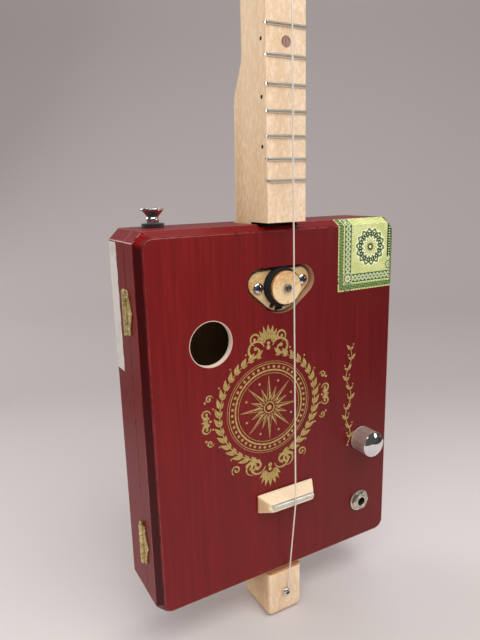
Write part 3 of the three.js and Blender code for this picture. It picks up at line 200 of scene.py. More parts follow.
lacquerLook = dict(
    deep="640d0f", body="741012", bright="841416", shaded="4a080a", bevel="32070a", seamShade="1c0506", rawEdge="d2aa86",
    rawDark="a87f5e", rawPale="f4dcc8", holeWallShade="2a1a12", wood="8d6846", woodDark="6e4f34", bevelTo=-0.0122)
holeLook = dict(x=-0.0515, z=0.2091, radius=0.0142, chipped=0.0146)
insideLook = dict(side=0.0868, low=0.0427, high=0.2699, front=-0.0143, back=0.0273)
rawLook = dict(side=0.085, low=0.045, high=0.27, soft=0.005)  # where the holes lie


def makeLacquer(name, shine, rawEdges=False, split=False):
    d = lacquerLook
    paint = Paint(name, Specular_IOR_Level=shine)
    x, y, z = paint.axes()
    grain = paint.noise(420, 5, 0.66, (1, 1, 0.045))
    cloud = paint.noise(14, 2, 0.5, (1, 1, 0.3))
    pores = paint.noise(1500, 2, 0.5, (1, 1, 0.02))
    paint.colour = paint.ramp(0.65 * grain + 0.35 * cloud, [(0.3, d["deep"]), (0.5, d["body"]), (0.68, d["bright"])])
    paint.over(pores.step(0.6, 0.72) * 0.3, d["deep"])
    room = insideLook
    inside = x.within(-room["side"], room["side"]) * y.within(room["front"], room["back"])
    inside = inside * z.within(room["low"], room["high"])
    paint.over(inside, paint.mix(grain, d["wood"], d["woodDark"]))
    gloss = 0.3 + grain * 0.14 + inside * 0.35
    sideways = paint.trueNormal("X")
    if rawEdges:  # the walls of the holes are bare wood, with painted shade on the walls on the left and above
        soft = rawLook["soft"]
        inward = x.within(-rawLook["side"], rawLook["side"], soft) * z.within(rawLook["low"], rawLook["high"], soft)
        raw = abs(paint.trueNormal("Y")).step(0.4, 0.2) * inward
        wood = paint.mix(paint.noise(120, 2, 0.5, (1, 9, 1)), d["rawEdge"], d["rawDark"])
        shadeFacing = sideways * -0.8 + paint.trueNormal("Z") * 0.3
        wood = paint.mix(shadeFacing.step(0.1, -0.35), wood, d["holeWallShade"])
        wood = paint.mix(x.step(-0.03, -0.035), wood, d["rawPale"])  # the sound hole's wall is pale
        hole = ((x - holeLook["x"]) ** 2 + (z - holeLook["z"]) ** 2) ** 0.5
        chipped = hole.step(holeLook["chipped"], holeLook["radius"])  # paint worn off round the sound hole
        paint.over(chipped * 0.7, d["rawPale"])
        # painted shade: the lid panel darker towards its right side
        paint.over(x.step(-0.05, 0.07) * 0.45, d["shaded"])
        paint.over(raw, wood)
        gloss = gloss + raw * 0.4
    if split:  # painted shade in the seam between lid and tray, and on the side bevels
        seamShade = abs(y - splitAt).step(0.0008, 0.0004)
        bevel = abs(sideways).step(0.78, 0.83) * abs(sideways).step(0.97, 0.93)
        bevel = bevel * y.step(d["bevelTo"] + 0.0012, d["bevelTo"])
        paint.over(bevel * 0.85, d["bevel"])
        paint.over(seamShade * 0.8, d["seamShade"])
    return paint.coat(gloss, grain * 0.7 + pores * 0.3, 0.0001, 0.25)


# Metals
def makeMetal(name, bright, dull, roughness, scratch, stretch=(1, 1, 1), scale=400, metallic=1.0):
    paint = Paint(name, Metallic=metallic)
    marks = paint.noise(scale, 4, 0.65, stretch)
    smudge = paint.noise(60, 2, 0.5)
    paint.colour = paint.mix(marks.step(0.42, 0.7) * 0.6, bright, dull)
    return paint.coat(roughness + marks * scratch + smudge * scratch * 0.5, marks, 0.00003, 0.25)


brassLook = dict(shade="b89c62", shine="ead6a0", tarnish="7a6636", metallic=0.55)


def makeBrass(name):
    d = brassLook
    paint = Paint(name, Metallic=d["metallic"])
    mottle = paint.noise(420, 4, 0.65)
    streaks = paint.noise(500, 2, 0.6, (1, 1, 4))
    paint.colour = paint.mix(mottle.step(0.38, 0.62), d["shade"], d["shine"])
    paint.over(streaks.step(0.55, 0.7) * 0.5, d["tarnish"])
    return paint.coat(0.32 + mottle * 0.2, mottle, 0.00006, 0.5)


# Other stuffs
def makeStuff(name, light, dark, roughness, scale, depth, stretch=(1, 1, 1), **constants):
    paint = Paint(name, **constants)
    grain = paint.noise(scale, 4, 0.6, stretch)
    paint.colour = paint.mix(grain.step(0.35, 0.68), dark, light)
    return paint.coat(roughness + grain * 0.12, grain, depth, 0.6)


tapeLook = dict(cloth="141417", lint="2d2c30")


def makeTape(name):
    paint = Paint(name)
    weave = paint.node("ShaderNodeTexWave", {"wave_type": "BANDS", "bands_direction": "Z"}, {
        "Vector": paint.stretched(1, 3, 1), "Scale": 900, "Distortion": 1.5}, 1)
    lint = paint.noise(700, 3, 0.7)
    paint.colour = paint.mix(lint.step(0.5, 0.75), tapeLook["cloth"], tapeLook["lint"])
    return paint.coat(0.72 + lint * 0.2, weave * 0.6 + lint * 0.4, 0.0002, 0.6)


splitAt = (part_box("lid_rim")[1].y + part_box("tray_frame")[0].y) / 2
# A finish is a material and the name of its slot.
maple = makeMaple("mapleClear", mapleLook, boxTop=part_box("lid_rim")[1].z), "maple"
bridgeMaple = makeMaple("mapleBridgeLit", bridgeLitLook, "X"), "maple"
capMaple = makeMaple("mapleSheet", sheetLook, "X", 0.2), "maple"
edgeMaple = makeStuff("mapleScorchedEdge", "c98a4c", "9d6430", 0.5, 300, 0.00005, (1, 0.2, 1)), "maple"
lacquer = makeLacquer("redLacquer", 0.14, split=True), "red_lacquer"
panelLacquer = makeLacquer("redLacquerPanel", 0.3, rawEdges=True), "red_lacquer"
cornerLacquer = makeLacquer("redLacquerCorner", 0.03, split=True)
# lighter red on the eased edges of the box: painted highlight
edgeHighlightLacquer = makeStuff("redLacquerEdgeHighlight", "94302f", "701a1c", 0.22, 260, 0.00003, (1, 1, 0.3))
chrome = makeMetal("chromePlate", "e9eaec", "d9dadd", 0.035, 0.05), "chrome"
nickel = makeMetal("dullNickel", "e2dccf", "bdb6a8", 0.2, 0.16), "nickel"
# chrome tinted pink for the knurl: painted reflection of the red box
knurledPinkSheen = makeMetal("knurledChromePinkSheen", "e4d6ce", "cdbab0", 0.3, 0.12, (1, 0.1, 1), 500, 0.75)
steel = makeMetal("brightSteel", "f2f0ec", "cfccc6", 0.26, 0.14, (1, 1, 0.1), 400, 0.7), "steel"
fretMetal = makeMetal("fretAlloy", "ece4d8", "c8bca9", 0.22, 0.12, (0.1, 1, 1), 400, 0.9), "nickel"
wire = makeMetal("stringWire", "f6eadc", "dccebc", 0.42, 0.1, (1, 1, 0.1), 900, 0.35), "steel"
# dark metal for the faces of the cross recesses: painted shade
recessShadeMetal = makeMetal("recessShadeMetal", "5a5a5c", "38383a", 0.4, 0.1)
poleSteel = makeMetal("darkSteel", "b2b2b6", "77777b", 0.22, 0.1), "steel"
solder = makeMetal("oldSolder", "8f6f52", "5d4230", 0.4, 0.2), "steel"
brass = makeBrass("agedBrass"), "old_brass"
bone = makeStuff("boneNut", "efe7d4", "dccfb2", 0.36, 500, 0.00004, (0.2, 1, 1)), "bone"
tape = makeTape("clothTape"), "cloth_tape"
felt = makeStuff("blackFelt", "1c1c1e", "0a0a0b", 0.85, 1400, 0.0003, Sheen_Weight=0.3), "felt"
ferrite = makeStuff("darkFerrite", "4b4b4f", "303034", 0.6, 900, 0.00008), "ferrite"
leadJacket = makeStuff("greyJacket", "6d6e72", "515256", 0.5, 600, 0.00004), "lead_jacket"
dotWood = makeStuff("dotRosewood", "b08a7c", "7d5d52", 0.45, 900, 0.00005, (1, 1, 0.15)), "maple"
sideDot = makeStuff("dotBlackwood", "22130b", "100805", 0.6, 900, 0.00003, Specular_IOR_Level=0.12), "maple"
gilt = makeStuff("giltInk", "c9b070", "a98f4e", 0.42, 700, 0.00003, Metallic=0.25), "gilt_print"
print("finishes ready")


# Meshes
quarter = pi / 2


def mm(*values):
    return tuple(v / 1000 for v in values)


def shares(steps):  # from 0 to 1
    return [i / steps for i in range(steps + 1)]


def around(count):  # angles round a circle
    return [2 * pi * i / count for i in range(count)]


def boxOf(node):  # lowest corner, highest corner and middle
    low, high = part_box(node)
    return low, high, (low + high) / 2


def bodyOf(node):
    for body, nodes in frame["record"]["behaviour"]["bodies"].items():
        if node in nodes:
            return body
    return "guitar"


def placed(name, data):
    made = bpy.data.objects.new(name, data)
    bpy.context.scene.collection.objects.link(made)
    return made


def addPiece(name, mesh, finish, body="guitar", replaces=()):
    material, slot = finish
    piece = placed(name, mesh)
    mesh.materials.clear()
    mesh.materials.append(material)
    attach(piece, body)
    if replaces:
        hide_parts(*replaces)
    return piece


def modify(piece, name, kind, **settings):
    modifier = piece.modifiers.new(name, kind)
    for key, value in settings.items():
        setattr(modifier, key, value)


def reworked(mesh, change, smooth):
    build = bmesh.new()
    build.from_mesh(mesh)
    change(build)
    build.to_mesh(mesh)
    build.free()
    for face in mesh.polygons:
        face.use_smooth = smooth
    return mesh


def meshFrom(name, points, faces, smooth=True):
    mesh = bpy.data.meshes.new(name)
    mesh.from_pydata([tuple(p) for p in points], [], faces)
    mesh.validate()
    return reworked(mesh, lambda build: bmesh.ops.recalc_face_normals(build, faces=build.faces), smooth)


# The faces of a closed body through rows of points, from the point numbered start.
def loftFaces(rows, count, start=0):
    faces = []
    last = start + (rows - 1) * count
    for a in range(start, last, count):
        faces += [(a + k, a + (k + 1) % count, a + count + (k + 1) % count, a + count + k) for k in range(count)]
    return faces + [tuple(range(start + count - 1, start - 1, -1)), tuple(range(last, last + count))]


def lofted(name, rows, smooth=True):
    points = [point for row in rows for point in row]
    return meshFrom(name, points, loftFaces(len(rows), len(rows[0])), smooth)


def sharpen(piece, angle):
    piece.data.set_sharp_from_angle(angle=radians(angle))
    modify(piece, "weighted", "WEIGHTED_NORMAL", keep_sharp=True)


# A copy of a CAD solid with eased edges, in its place.
def eased(node, finish, width=0.0003, angle=30, rounds=2, edge=None):
    def clean(build):
        bmesh.ops.remove_doubles(build, verts=build.verts, dist=1e-6)
        bmesh.ops.dissolve_limit(build, angle_limit=radians(0.6), verts=build.verts, edges=build.edges)

    mesh = reworked(frame["nodes"][node].data.copy(), clean, True)
    piece = addPiece(node + "_eased", mesh, finish, bodyOf(node), (node,))
    if edge:
        mesh.materials.append(edge)
    if width:
        modify(piece, "eased", "BEVEL", width=width, segments=rounds, limit_method="ANGLE",
               angle_limit=radians(angle), use_clamp_overlap=False, material=1 if edge else -1)
    sharpen(piece, 40)
    return piece


def facing(direction):  # turns local +Z to the way a piece points
    return Vector(direction).to_track_quat("Z", "Y").to_matrix().to_4x4()


# A closed solid of revolution: (radius, height) pairs in millimetres, along a direction from a place.
def turned(name, profile, place, finish, sides=64, shape=None, ring=False, direction=(0, -1, 0), body="guitar",
           replaces=(), accent=None):
    points, rows, faces = [], [], []
    move = Matrix.Translation(Vector(place)) @ facing(direction)
    for radius, height in profile:
        count = sides if radius > 0 else 1
        rows.append([len(points) + i for i in range(count)])
        for turn in around(count):
            r, h = shape(radius, height, turn) if shape and count > 1 else (radius, height)
            points.append(move @ (Vector((r * cos(turn), r * sin(turn), h)) / 1000))
    for low, high in zip(rows, rows[1:] + rows[:1] if ring else rows[1:]):
        for i in range(sides):
            j = (i + 1) % sides
            corners = (low[i % len(low)], low[j % len(low)], high[j % len(high)], high[i % len(high)])
            faces.append(tuple(dict.fromkeys(corners)))
    piece = addPiece(name, meshFrom(name, points, faces), finish, body, replaces)
    if accent:  # a second material on the faces that a test of their place picks
        piece.data.materials.append(accent[0])
        back = move.inverted()
        for face in piece.data.polygons:
            face.material_index = 1 if accent[1](back @ face.center * 1000) else 0
    sharpen(piece, 32)


def remade(node, *args, **more):  # in the place of a CAD solid
    turned(node + "_shown", *args, body=bodyOf(node), replaces=(node,), **more)


def threaded(core, pitch, depth, limit):  # a fine thread in what lies outside the core, up to a height
    def cut(radius, height, turn):
        if radius < core or height > limit:
            return radius, height
        return radius - depth * (0.5 - 0.5 * cos(2 * pi * height / pitch - turn)), height
    return cut


def arc(radius, height, centreRadius, centreHeight, start, end, steps=6):
    turns = [radians(start + (end - start) * share) for share in shares(steps)]
    return [(centreRadius + radius * cos(t), centreHeight + height * sin(t)) for t in turns]


# A round tube along points, closed at its ends.
def tubeMesh(name, path, radius, sides):
    path = [Vector(p) for p in path]
    rows = []
    side = (path[1] - path[0]).normalized().orthogonal().normalized()
    for i, point in enumerate(path):
        tangent = (path[min(i + 1, len(path) - 1)] - path[max(i - 1, 0)]).normalized()
        side = (side - tangent * side.dot(tangent)).normalized()
        other = tangent.cross(side)
        rows.append([point + radius * (side * cos(t) + other * sin(t)) for t in around(sides)])
    return lofted(name, rows)


# Screws with a domed head; the dome's inner rings are pushed down along the two slots of a cross recess.
screwLook = dict(
    recess=0.62, slit=0.34, sunk=0.5, flat=0.3,
    tail=dict(radius=2.85, height=2.0, seat=1.3, shank=1.25, length=15),
    pickup=dict(radius=3.5, height=2.3, seat=0.15, shank=1.5, length=9),
    strap=dict(radius=4.1, height=2.3, shank=1.7, length=5.5))


def makeScrew(node, place, radius, height, seat, shank, length, direction=(0, -1, 0)):
    d = screwLook
    top = seat + height
    angles = [radians(a) for a in range(6, 91, 6)]
    profile = [(0, top - d["flat"] * height)]
    profile += [(radius * sin(a), seat + height * (d["flat"] + (1 - d["flat"]) * cos(a))) for a in angles]
    profile += [(radius * 0.97, seat), (shank, seat), (shank, shank - length), (0, -length)]
    reach, slit, sunk = radius * d["recess"], radius * d["slit"], height * d["sunk"]

    def recess(r, h, turn):
        inSlit = min(abs(r * cos(turn)), abs(r * sin(turn))) < slit / 2
        if h < top - sunk * 1.2 or r > reach or not inSlit:
            return r, h
        return r, h - sunk * (1 - (r / reach) ** 2)

    # the recess faces take the darker metal: painted shade in the cross recess
    inRecess = lambda p: p.z > seat and hypot(p.x, p.y) < reach and min(abs(p.x), abs(p.y)) < slit * 0.52
    remade(node, profile, place, chrome, 96, recess, direction=direction, accent=(recessShadeMetal, inRecess))


# Camera, floor and light
cameraLook = dict(place=(-0.19229, -0.30585, 0.29865), turn=(76.810, 1.448, -29.518), lens=31.39)
backdropLook = dict(
    width=5.0, front=-0.33, wallAt=1.9, bend=0.9, height=4.0, turn=-30.5, paper="d0c9c7", far="b0a8a6", cloth="b0a8a6",
    high="aaa2a0", room="2c2826", halfPaper=0.4, narrowing=0.075, steps=24)
worldLook = dict(colour=(0.93, 0.91, 0.9, 1), seen=0.7, mirrored=0.09)
lamps = dict(  # place, target, size, power
    keyLamp=((0.2, -0.92, 1.5), (0, 0, 0.3), 0.9, 11.7),
    sideLamp=((-0.75, 1.3, 0.9), (0, 0, 0.3), 0.9, 9),
    frontLamp=((-0.35, -0.5, 0.85), (0, 0, 0.25), 0.5, 2.0),
    cardLamp=((0.95, -0.95, 0.42), (0, 0, 0.15), 0.24, 0.8),
    backLamp=((0.9, 0.6, 2.4), (0.8, 1.4, 0.0), 1.2, 8),
)


def makeCamera():
    lens = bpy.data.cameras.new("camera")
    lens.lens = cameraLook["lens"]
    lens.sensor_width = 36
    lens.clip_start = 0.01
    camera = placed("camera", lens)
    camera.location = cameraLook["place"]
    camera.rotation_euler = [radians(a) for a in cameraLook["turn"]]
    bpy.context.scene.camera = camera


def makePaper():
    d = backdropLook
    paint = Paint("backdropPaper")
    x, y, z = paint.axes()
    drape = paint.noise(2.2, 2, 0.5, (1, 1, 0.25))
    weave = paint.noise(900, 2, 0.5)
    outside = (abs(x) + y * d["narrowing"] - d["halfPaper"]).step(-0.02, 0.04)
    beyond = (y + drape * 0.1).step(0.85, 1.25)
    rise = (z + drape * 0.14).step(0.0, 1.1)
    # painted shade: the floor grows darker towards the back and the wall darker as it rises
    paper = paint.mix(y.step(0.0, 0.5), d["paper"], d["far"])
    paint.colour = paint.mix(paint.maths("MAXIMUM", outside, beyond), paper, d["cloth"])
    paint.over(rise, d["high"])
    mirrored = paint.node("ShaderNodeLightPath", out="Is Glossy Ray")
    unseen = outside * y.step(0.42, 0.2) * mirrored  # mirrors show the darker room beside the paper
    paint.over(unseen, d["room"])
    paint.link("Base Color", paint.colour)
    paint.link("Roughness", 0.85 + weave * 0.1)
    return paint.owner


def makeBackdrop():
    d = backdropLook
    turns = [share * quarter for share in shares(d["steps"])]
    profile = [(d["front"], 0.0), (0.0, 0.0)]
    profile += [(d["wallAt"] - d["bend"] * (1 - sin(t)), d["bend"] * (1 - cos(t))) for t in turns]
    profile += [(d["wallAt"], d["height"])]
    points = [(side * d["width"] / 2, y, z) for y, z in profile for side in (-1, 1)]
    faces = [(2 * i, 2 * i + 1, 2 * i + 3, 2 * i + 2) for i in range(len(profile) - 1)]
    backdrop = placed("backdrop", meshFrom("backdrop", points, faces))
    backdrop.rotation_euler.z = radians(d["turn"])
    backdrop.data.materials.append(makePaper())


def makeLamp(name, place, target, size, power):
    lamp = bpy.data.lights.new(name, "AREA")
    lamp.size = size
    lamp.energy = power
    holder = placed(name, lamp)
    holder.location = place
    holder.rotation_euler = (Vector(target) - Vector(place)).to_track_quat("-Z", "Y").to_euler()


def makeWorld():  # mirrors see a darker room
    sky = Paint("studio", "Background", Color=worldLook["colour"])
    mirrored = sky.node("ShaderNodeLightPath", out="Is Glossy Ray")
    levels = {"Value": mirrored, "To Min": worldLook["seen"], "To Max": worldLook["mirrored"]}
    sky.link("Strength", sky.node("ShaderNodeMapRange", sockets=levels))
    bpy.context.scene.world = sky.owner


makeCamera()
makeBackdrop()
makeWorld()
for name, look in lamps.items():
    makeLamp(name, *look)
bpy.context.scene.view_settings.view_transform = "Standard"
print("camera, backdrop and lamps set")


# Box
boxLook = dict(outline=0.006, panelEdge=0.0007, rimEdge=0.0005)
lidTop = eased("lid_panel", panelLacquer, boxLook["panelEdge"], 50, 4, edgeHighlightLacquer)
weights = lidTop.data.attributes.new("bevel_weight_edge", "FLOAT", "EDGE")
panelLow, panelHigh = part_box("lid_panel")
panelFace = panelLow.y
for line in lidTop.data.edges:  # only the lid's outline is eased, not its holes
    middle = (lidTop.data.vertices[line.vertices[0]].co + lidTop.data.vertices[line.vertices[1]].co) / 2
    toOutline = min(panelHigh.x - abs(middle.x), middle.z - panelLow.z, panelHigh.z - middle.z)
    weights.data[line.index].value = 1 if toOutline < boxLook["outline"] and middle.y < panelFace + 0.0001 else 0
lidTop.modifiers["eased"].limit_method = "WEIGHT"
for node in ("lid_rim", "tray_frame"):
    sideWalls = eased(node, lacquer, boxLook["rimEdge"], 30, 3, edgeHighlightLacquer)
    sideWalls.data.materials.append(cornerLacquer)
    for face in sideWalls.data.polygons:  # the cut corners are less glossy
        if min(abs(face.normal.x), abs(face.normal.z)) > 0.5:
            face.material_index = 2
eased("back_panel", lacquer)

# Stick, bridge and nut
wornLook = dict(voxel=0.0005, softness=0.6, rounds=34)
eased("neck", maple, 0)
bridge = eased("bridge", bridgeMaple, 0)
modify(bridge, "worn", "REMESH", mode="VOXEL", voxel_size=wornLook["voxel"], use_smooth_shade=True)
modify(bridge, "softened", "SMOOTH", factor=wornLook["softness"], iterations=wornLook["rounds"])
eased("nut", bone, 0.0004)
eased("pickup_base", capMaple, 0.0003, 50)
eased("pickup_carrier", bridgeMaple, 0.0005)
print("box and stick dressed")


# Frets, crowned and rounded at their ends
fretLook = dict(crown=1.2, height=1.1, tang=0.3, endRounding=0.8, endHeight=0.12, arcSteps=12, endSteps=5)


def makeFret(node, crown, height, tang, endRounding, endHeight, arcSteps, endSteps):
    low, high, middle = boxOf(node)
    crown, height, tang, rounding = mm(crown, height, tang, endRounding)
    seat = low.y + height
    turns = [pi * share for share in shares(arcSteps)]
    stations = [(share * rounding - high.x, sin(share * quarter)) for share in shares(endSteps)]
    rows = []
    for x, share in stations + [(-x, s) for x, s in reversed(stations)]:
        tall = height * max(share, endHeight)
        row = [(x, seat - tall * sin(t), middle.z + crown * cos(t)) for t in turns]
        rows.append(row + [(x, high.y, middle.z - tang), (x, high.y, middle.z + tang)])
    sharpen(addPiece(node + "_crown", lofted(node, rows), fretMetal, "guitar", (node,)), 35)


for number in range(1, 21):
    makeFret("fret_%02d" % number, **fretLook)

# Fret markers: round wood inlays on the face, small dark dots on the left side
markerLook = dict(
    face=3.2, side=1.15, sideDepth=4.7, sideRise=1.3, proud=0.03, pair=6,
    faceFrets=(3, 5, 7, 9, 12, 15), sideFrets=(3, 5, 7, 9, 12, 15, 17, 19))


def makeDot(name, radius, place, finish, sides, direction=(0, -1, 0)):
    proud = markerLook["proud"]
    profile = [(0, -1), (radius, -1), (radius, proud), (0, proud)]
    turned(name, profile, place, finish, sides, direction=direction)


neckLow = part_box("neck")[0]
pair, depth, rise = mm(markerLook["pair"], markerLook["sideDepth"], markerLook["sideRise"])
for number in markerLook["sideFrets"]:
    middle = (boxOf("fret_%02d" % number)[2].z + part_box("fret_%02d" % (number - 1))[0].z) / 2
    if number in markerLook["faceFrets"]:
        for k, x in enumerate((-pair, pair) if number == 12 else (0,)):
            makeDot("face_dot_%02d_%d" % (number, k), markerLook["face"], (x, neckLow.y, middle), dotWood, 40)
    beside = (neckLow.x, neckLow.y + depth, middle + rise)
    makeDot("side_dot_%02d" % number, markerLook["side"], beside, sideDot, 24, (-1, 0, 0))
print("frets and markers made")

# String: a loop under the tail screw, over the saddle and the nut, and three turns on the post
stringLook = dict(
    radius=0.0005, loop=0.0019, loopSteps=24, leaves=0.00335, bend=(0.00005, 0.00036, -0.0025), overNut=0.0037,
    firstTurn=-0.0197, beforePost=0.0005, pitch=0.00145, turns=3, turnSteps=32, wind=0.00365)


def makeString(radius, loop, loopSteps, leaves, bend, overNut, firstTurn, beforePost, pitch, turns, turnSteps, wind):
    low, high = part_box("string")
    screw, saddle, nut, post = [boxOf(node)[2] for node in ("tail_screw", "saddle_rod", "nut", "tuner_post")]
    loopY = high.y - radius
    onSaddle = Vector((0, low.y + radius, saddle.z))
    angles = [(share - 1) * 4 * pi / 3 for share in shares(loopSteps)]
    path = [(loop * cos(t), loopY, screw.z + loop * sin(t)) for t in angles]
    path += [(loop, loopY, screw.z + leaves), onSaddle + Vector(bend), onSaddle]
    path += [(0, neckLow.y - overNut, nut.z), (0, firstTurn, post.z - beforePost)]
    for i in range(1, turns * turnSteps + 1):
        turn = 2 * pi * i / turnSteps
        y = firstTurn - pitch * i / turnSteps
        path.append((post.x + wind * cos(turn), y, post.z + wind * sin(turn)))
    addPiece("string_shown", tubeMesh("string_shown", path, radius, 16), wire, "guitar", ("string",))


makeString(**stringLook)
print("string strung")

# Saddle rod with a fine thread
saddleLook = dict(radius=1.55, depth=0.16, pitch=0.62, chamfer=0.4)


def makeSaddle(radius, depth, pitch, chamfer):
    low, high, middle = boxOf("saddle_rod")
    length = (high.x - low.x) * 1000
    rows = int(length / pitch * 4)
    profile = [(0, 0), (radius - chamfer, 0)]
    profile += [(radius, chamfer + (length - 2 * chamfer) * share) for share in shares(rows)]
    profile += [(radius - chamfer, length), (0, length)]
    thread = threaded(radius, pitch, depth, length)
    remade("saddle_rod", profile, (low.x, middle.y, middle.z), steel, 28, thread, direction=(1, 0, 0))


makeSaddle(**saddleLook)

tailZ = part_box("tail_screw")[0].z + screwLook["tail"]["radius"] / 1000
makeScrew("tail_screw", (0, panelFace, tailZ), **screwLook["tail"])
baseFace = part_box("pickup_base")[0].y
for side in ("left", "right"):
    middle = boxOf("pickup_screw_" + side)[2]
    makeScrew("pickup_screw_" + side, (middle.x, baseFace, middle.z), **screwLook["pickup"])


# Pickup: taped coil, wooden cap, pole screw
pickupLook = dict(
    capRadius=10.5, capRounding=0.5, coilRadius=12.6, tapeLayers=5, poleRadius=2.5, socket=1.25, socketDepth=1.3,
    thread=1.8, bore=1.95)


def hexagon(turn):  # its outline, with the flats at 1
    return 1 / cos((turn % (pi / 3)) - pi / 6)


def makePickup(capRadius, capRounding, coilRadius, tapeLayers, poleRadius, socket, socketDepth, thread, bore):
    low, high, middle = boxOf("pickup_cap")
    capTop = low.y
    centre = (middle.x, high.y, middle.z)
    thick = (high.y - low.y) * 1000
    r, e = capRadius, capRounding
    cap = [(bore, 0), (r - 0.2, 0), (r, 0.2)] + arc(e, e, r - e, thick - e, 0, 90) + [(bore, thick)]
    remade("pickup_cap", cap, centre, capMaple, 96, ring=True)
    edge = [(r + 0.03, 0.25), (r + 0.06, 0.3), (r + 0.06, thick - 0.55), (r + 0.03, thick - 0.5),
            (r - 0.3, thick - 0.9), (r - 0.3, 0.5)]
    turned("pickup_cap_edge", edge, centre, edgeMaple, 96, ring=True)

    low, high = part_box("pickup_coil")
    length = (high.y - low.y) * 1000
    coil = [(bore, 0)]
    for i in range(tapeLayers):
        bottom, top = length * i / tapeLayers, length * (i + 1) / tapeLayers
        bulge = coilRadius - (0.55 if i == tapeLayers - 1 else 0.25 * (i % 2))
        coil += [(bulge - 0.28, bottom + 0.05), (bulge, bottom + 0.3), (bulge, top - 0.3), (bulge - 0.28, top - 0.05)]
    coil += [(bore, length)]
    lumps = lambda radius, height, turn: (radius + (0.12 * sin(3 * turn + height) if radius > 5 else 0), height)
    remade("pickup_coil", coil, (centre[0], high.y, centre[2]), tape, 72, lumps, True)

    low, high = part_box("pickup_pole_screw")
    top, length = (capTop - low.y) * 1000, (high.y - capTop) * 1000
    p, s, floor = poleRadius, socket, top - socketDepth
    pole = [(0, floor), (s, floor), (s, top - 0.12), (s + 0.1, top)] + arc(0.5, 0.5, p - 0.5, top - 0.5, 90, 0)
    pole += [(p, 0.15), (thread, 0.15), (thread, -length), (0, -length)]

    def hexed(radius, height, turn):
        if radius > s + 0.05 or height < 0:
            return radius, height
        return radius * cos(pi / 6) * hexagon(turn), height

    remade("pickup_pole_screw", pole, (centre[0], capTop, centre[2]), poleSteel, 48, hexed)


makePickup(**pickupLook)

# Tail of the coil's tape, and the ground terminal under the coil
tapeTail = dict(
    path=((-1.2, -16.6, 227.4), (-1.4, -15.6, 226.2), (-1.6, -15.1, 224.9), (-1.8, -14.95, 223.6)),
    across=(5.4, 0, 0.5), thick=0.5)
terminalLook = dict(
    x=-0.0068, z=0.2264, profile=[(0, 0), (1.5, 0), (1.5, 0.3), (0.7, 0.5), (0.7, 1.2), (0.4, 1.6), (0, 1.7)])


def ribbonMesh(name, path, across, thick):
    path, across = [Vector(mm(*p)) for p in path], Vector(mm(*across))
    rows = []
    for i, point in enumerate(path):
        ahead = path[min(i + 1, len(path) - 1)] - path[max(i - 1, 0)]
        normal = ahead.cross(across).normalized() * thick / 2000
        corners = ((-1, -1), (1, -1), (1, 1), (-1, 1))
        rows.append([point + across * side / 2 + normal * level for side, level in corners])
    return lofted(name, rows, False)


addPiece("tape_tail", ribbonMesh("tape_tail", **tapeTail), tape)
turned("pickup_terminal", terminalLook["profile"], (terminalLook["x"], baseFace, terminalLook["z"]), solder, 24)
print("pickup made")


# Volume knob: fine straight knurl below, polished band and crowned top
knobLook = dict(radius=9.1, knurls=44, knurlDepth=0.42, band=1.0, edge=0.5, crown=2.4, steps=16)


def makeKnob(radius, knurls, knurlDepth, band, edge, crown, steps):
    low, high, middle = boxOf("volume_knob")
    base = (high.y - low.y) * 1000 - crown
    r, top = radius, base - band
    profile = [(0, 5.6), (7.0, 5.6), (7.0, 0.3), (7.2, 0), (r - 0.4, 0), (r - 0.1, 0.25)]
    profile += [(r - 0.001 * i, 0.4 + (top - 0.6) * i / 3) for i in range(4)]
    profile += [(r - 0.25, top), (r - 0.1, top + 0.2), (r, base - edge * 0.6), (r - edge * 0.3, base - edge * 0.1)]
    profile += [((r - edge) * share, base + crown * (1 - share ** 2)) for share in shares(steps)[::-1]]

    def knurl(radius, height, turn):
        if not (0.3 < height < top - 0.1) or radius < r - 0.1:
            return radius, height
        return radius - knurlDepth * abs(sin(knurls / 2 * turn)), height

    # the knurl takes the pink-tinted chrome, a painted reflection
    accent = (knurledPinkSheen, lambda p: p.z < top)
    remade("volume_knob", profile, (middle.x, high.y, middle.z), chrome, 288, knurl, accent=accent)


makeKnob(**knobLook)
eased("pot_shaft", nickel, 0.0004)
eased("pot_body", nickel, 0.0003, 40)
eased("pot_nut", nickel)


# Jack: washer, chamfered hex nut and threaded sleeve
jackLook = dict(
    hole=3.3, sleeve=4.55, depth=5.0, wide=8.1, bore=4.85, flats=12.7, thick=0.9, top=3.3, pitch=0.7, cut=0.18)


def makeJack(hole, sleeve, depth, wide, bore, flats, thick, top, pitch, cut):
    low, high, middle = boxOf("jack_nut")
    inner = flats / 2
    nut = [(bore, 0), (wide - 0.2, 0), (wide, 0.2), (wide, thick - 0.3), (wide - 0.3, thick), (inner - 0.05, thick),
           (inner, thick + 0.1), (inner, top - 0.7), (inner - 0.55, top - 0.15), (inner - 0.75, top),
           (bore + 0.1, top), (bore, top - 0.2)]

    def hexed(radius, height, turn):
        if height < thick - 0.05 or radius < inner - 0.4:
            return radius, height
        limit = wide * 0.885 if height < top - 0.5 else inner + 0.1
        return min(radius * hexagon(turn), limit), height

    remade("jack_nut", nut, (middle.x, high.y, middle.z), nickel, 96, hexed, True)
    rows = [(hole, depth), (hole, 0.7), (hole + 0.5, 0.05), (sleeve - 0.35, 0.0)]
    rows += [(sleeve, 0.35 + i * pitch / 4) for i in range(9)] + [(sleeve, depth)]
    thread = threaded(sleeve - 0.01, pitch, cut, 3)
    place = (middle.x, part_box("jack_body")[0].y, middle.z)
    turned("jack_sleeve_face", rows, place, nickel, shape=thread, ring=True, direction=(0, 1, 0))


makeJack(**jackLook)
eased("jack_body", nickel, 0.0002, 50)
print("controls made")


# Strap button on its felt washer
buttonLook = dict(foot=4.0, footHeight=3.9, footBulge=1.2, waist=3.4, waistUp=3.6, rim=7.2, cup=5.2, bore=1.9)


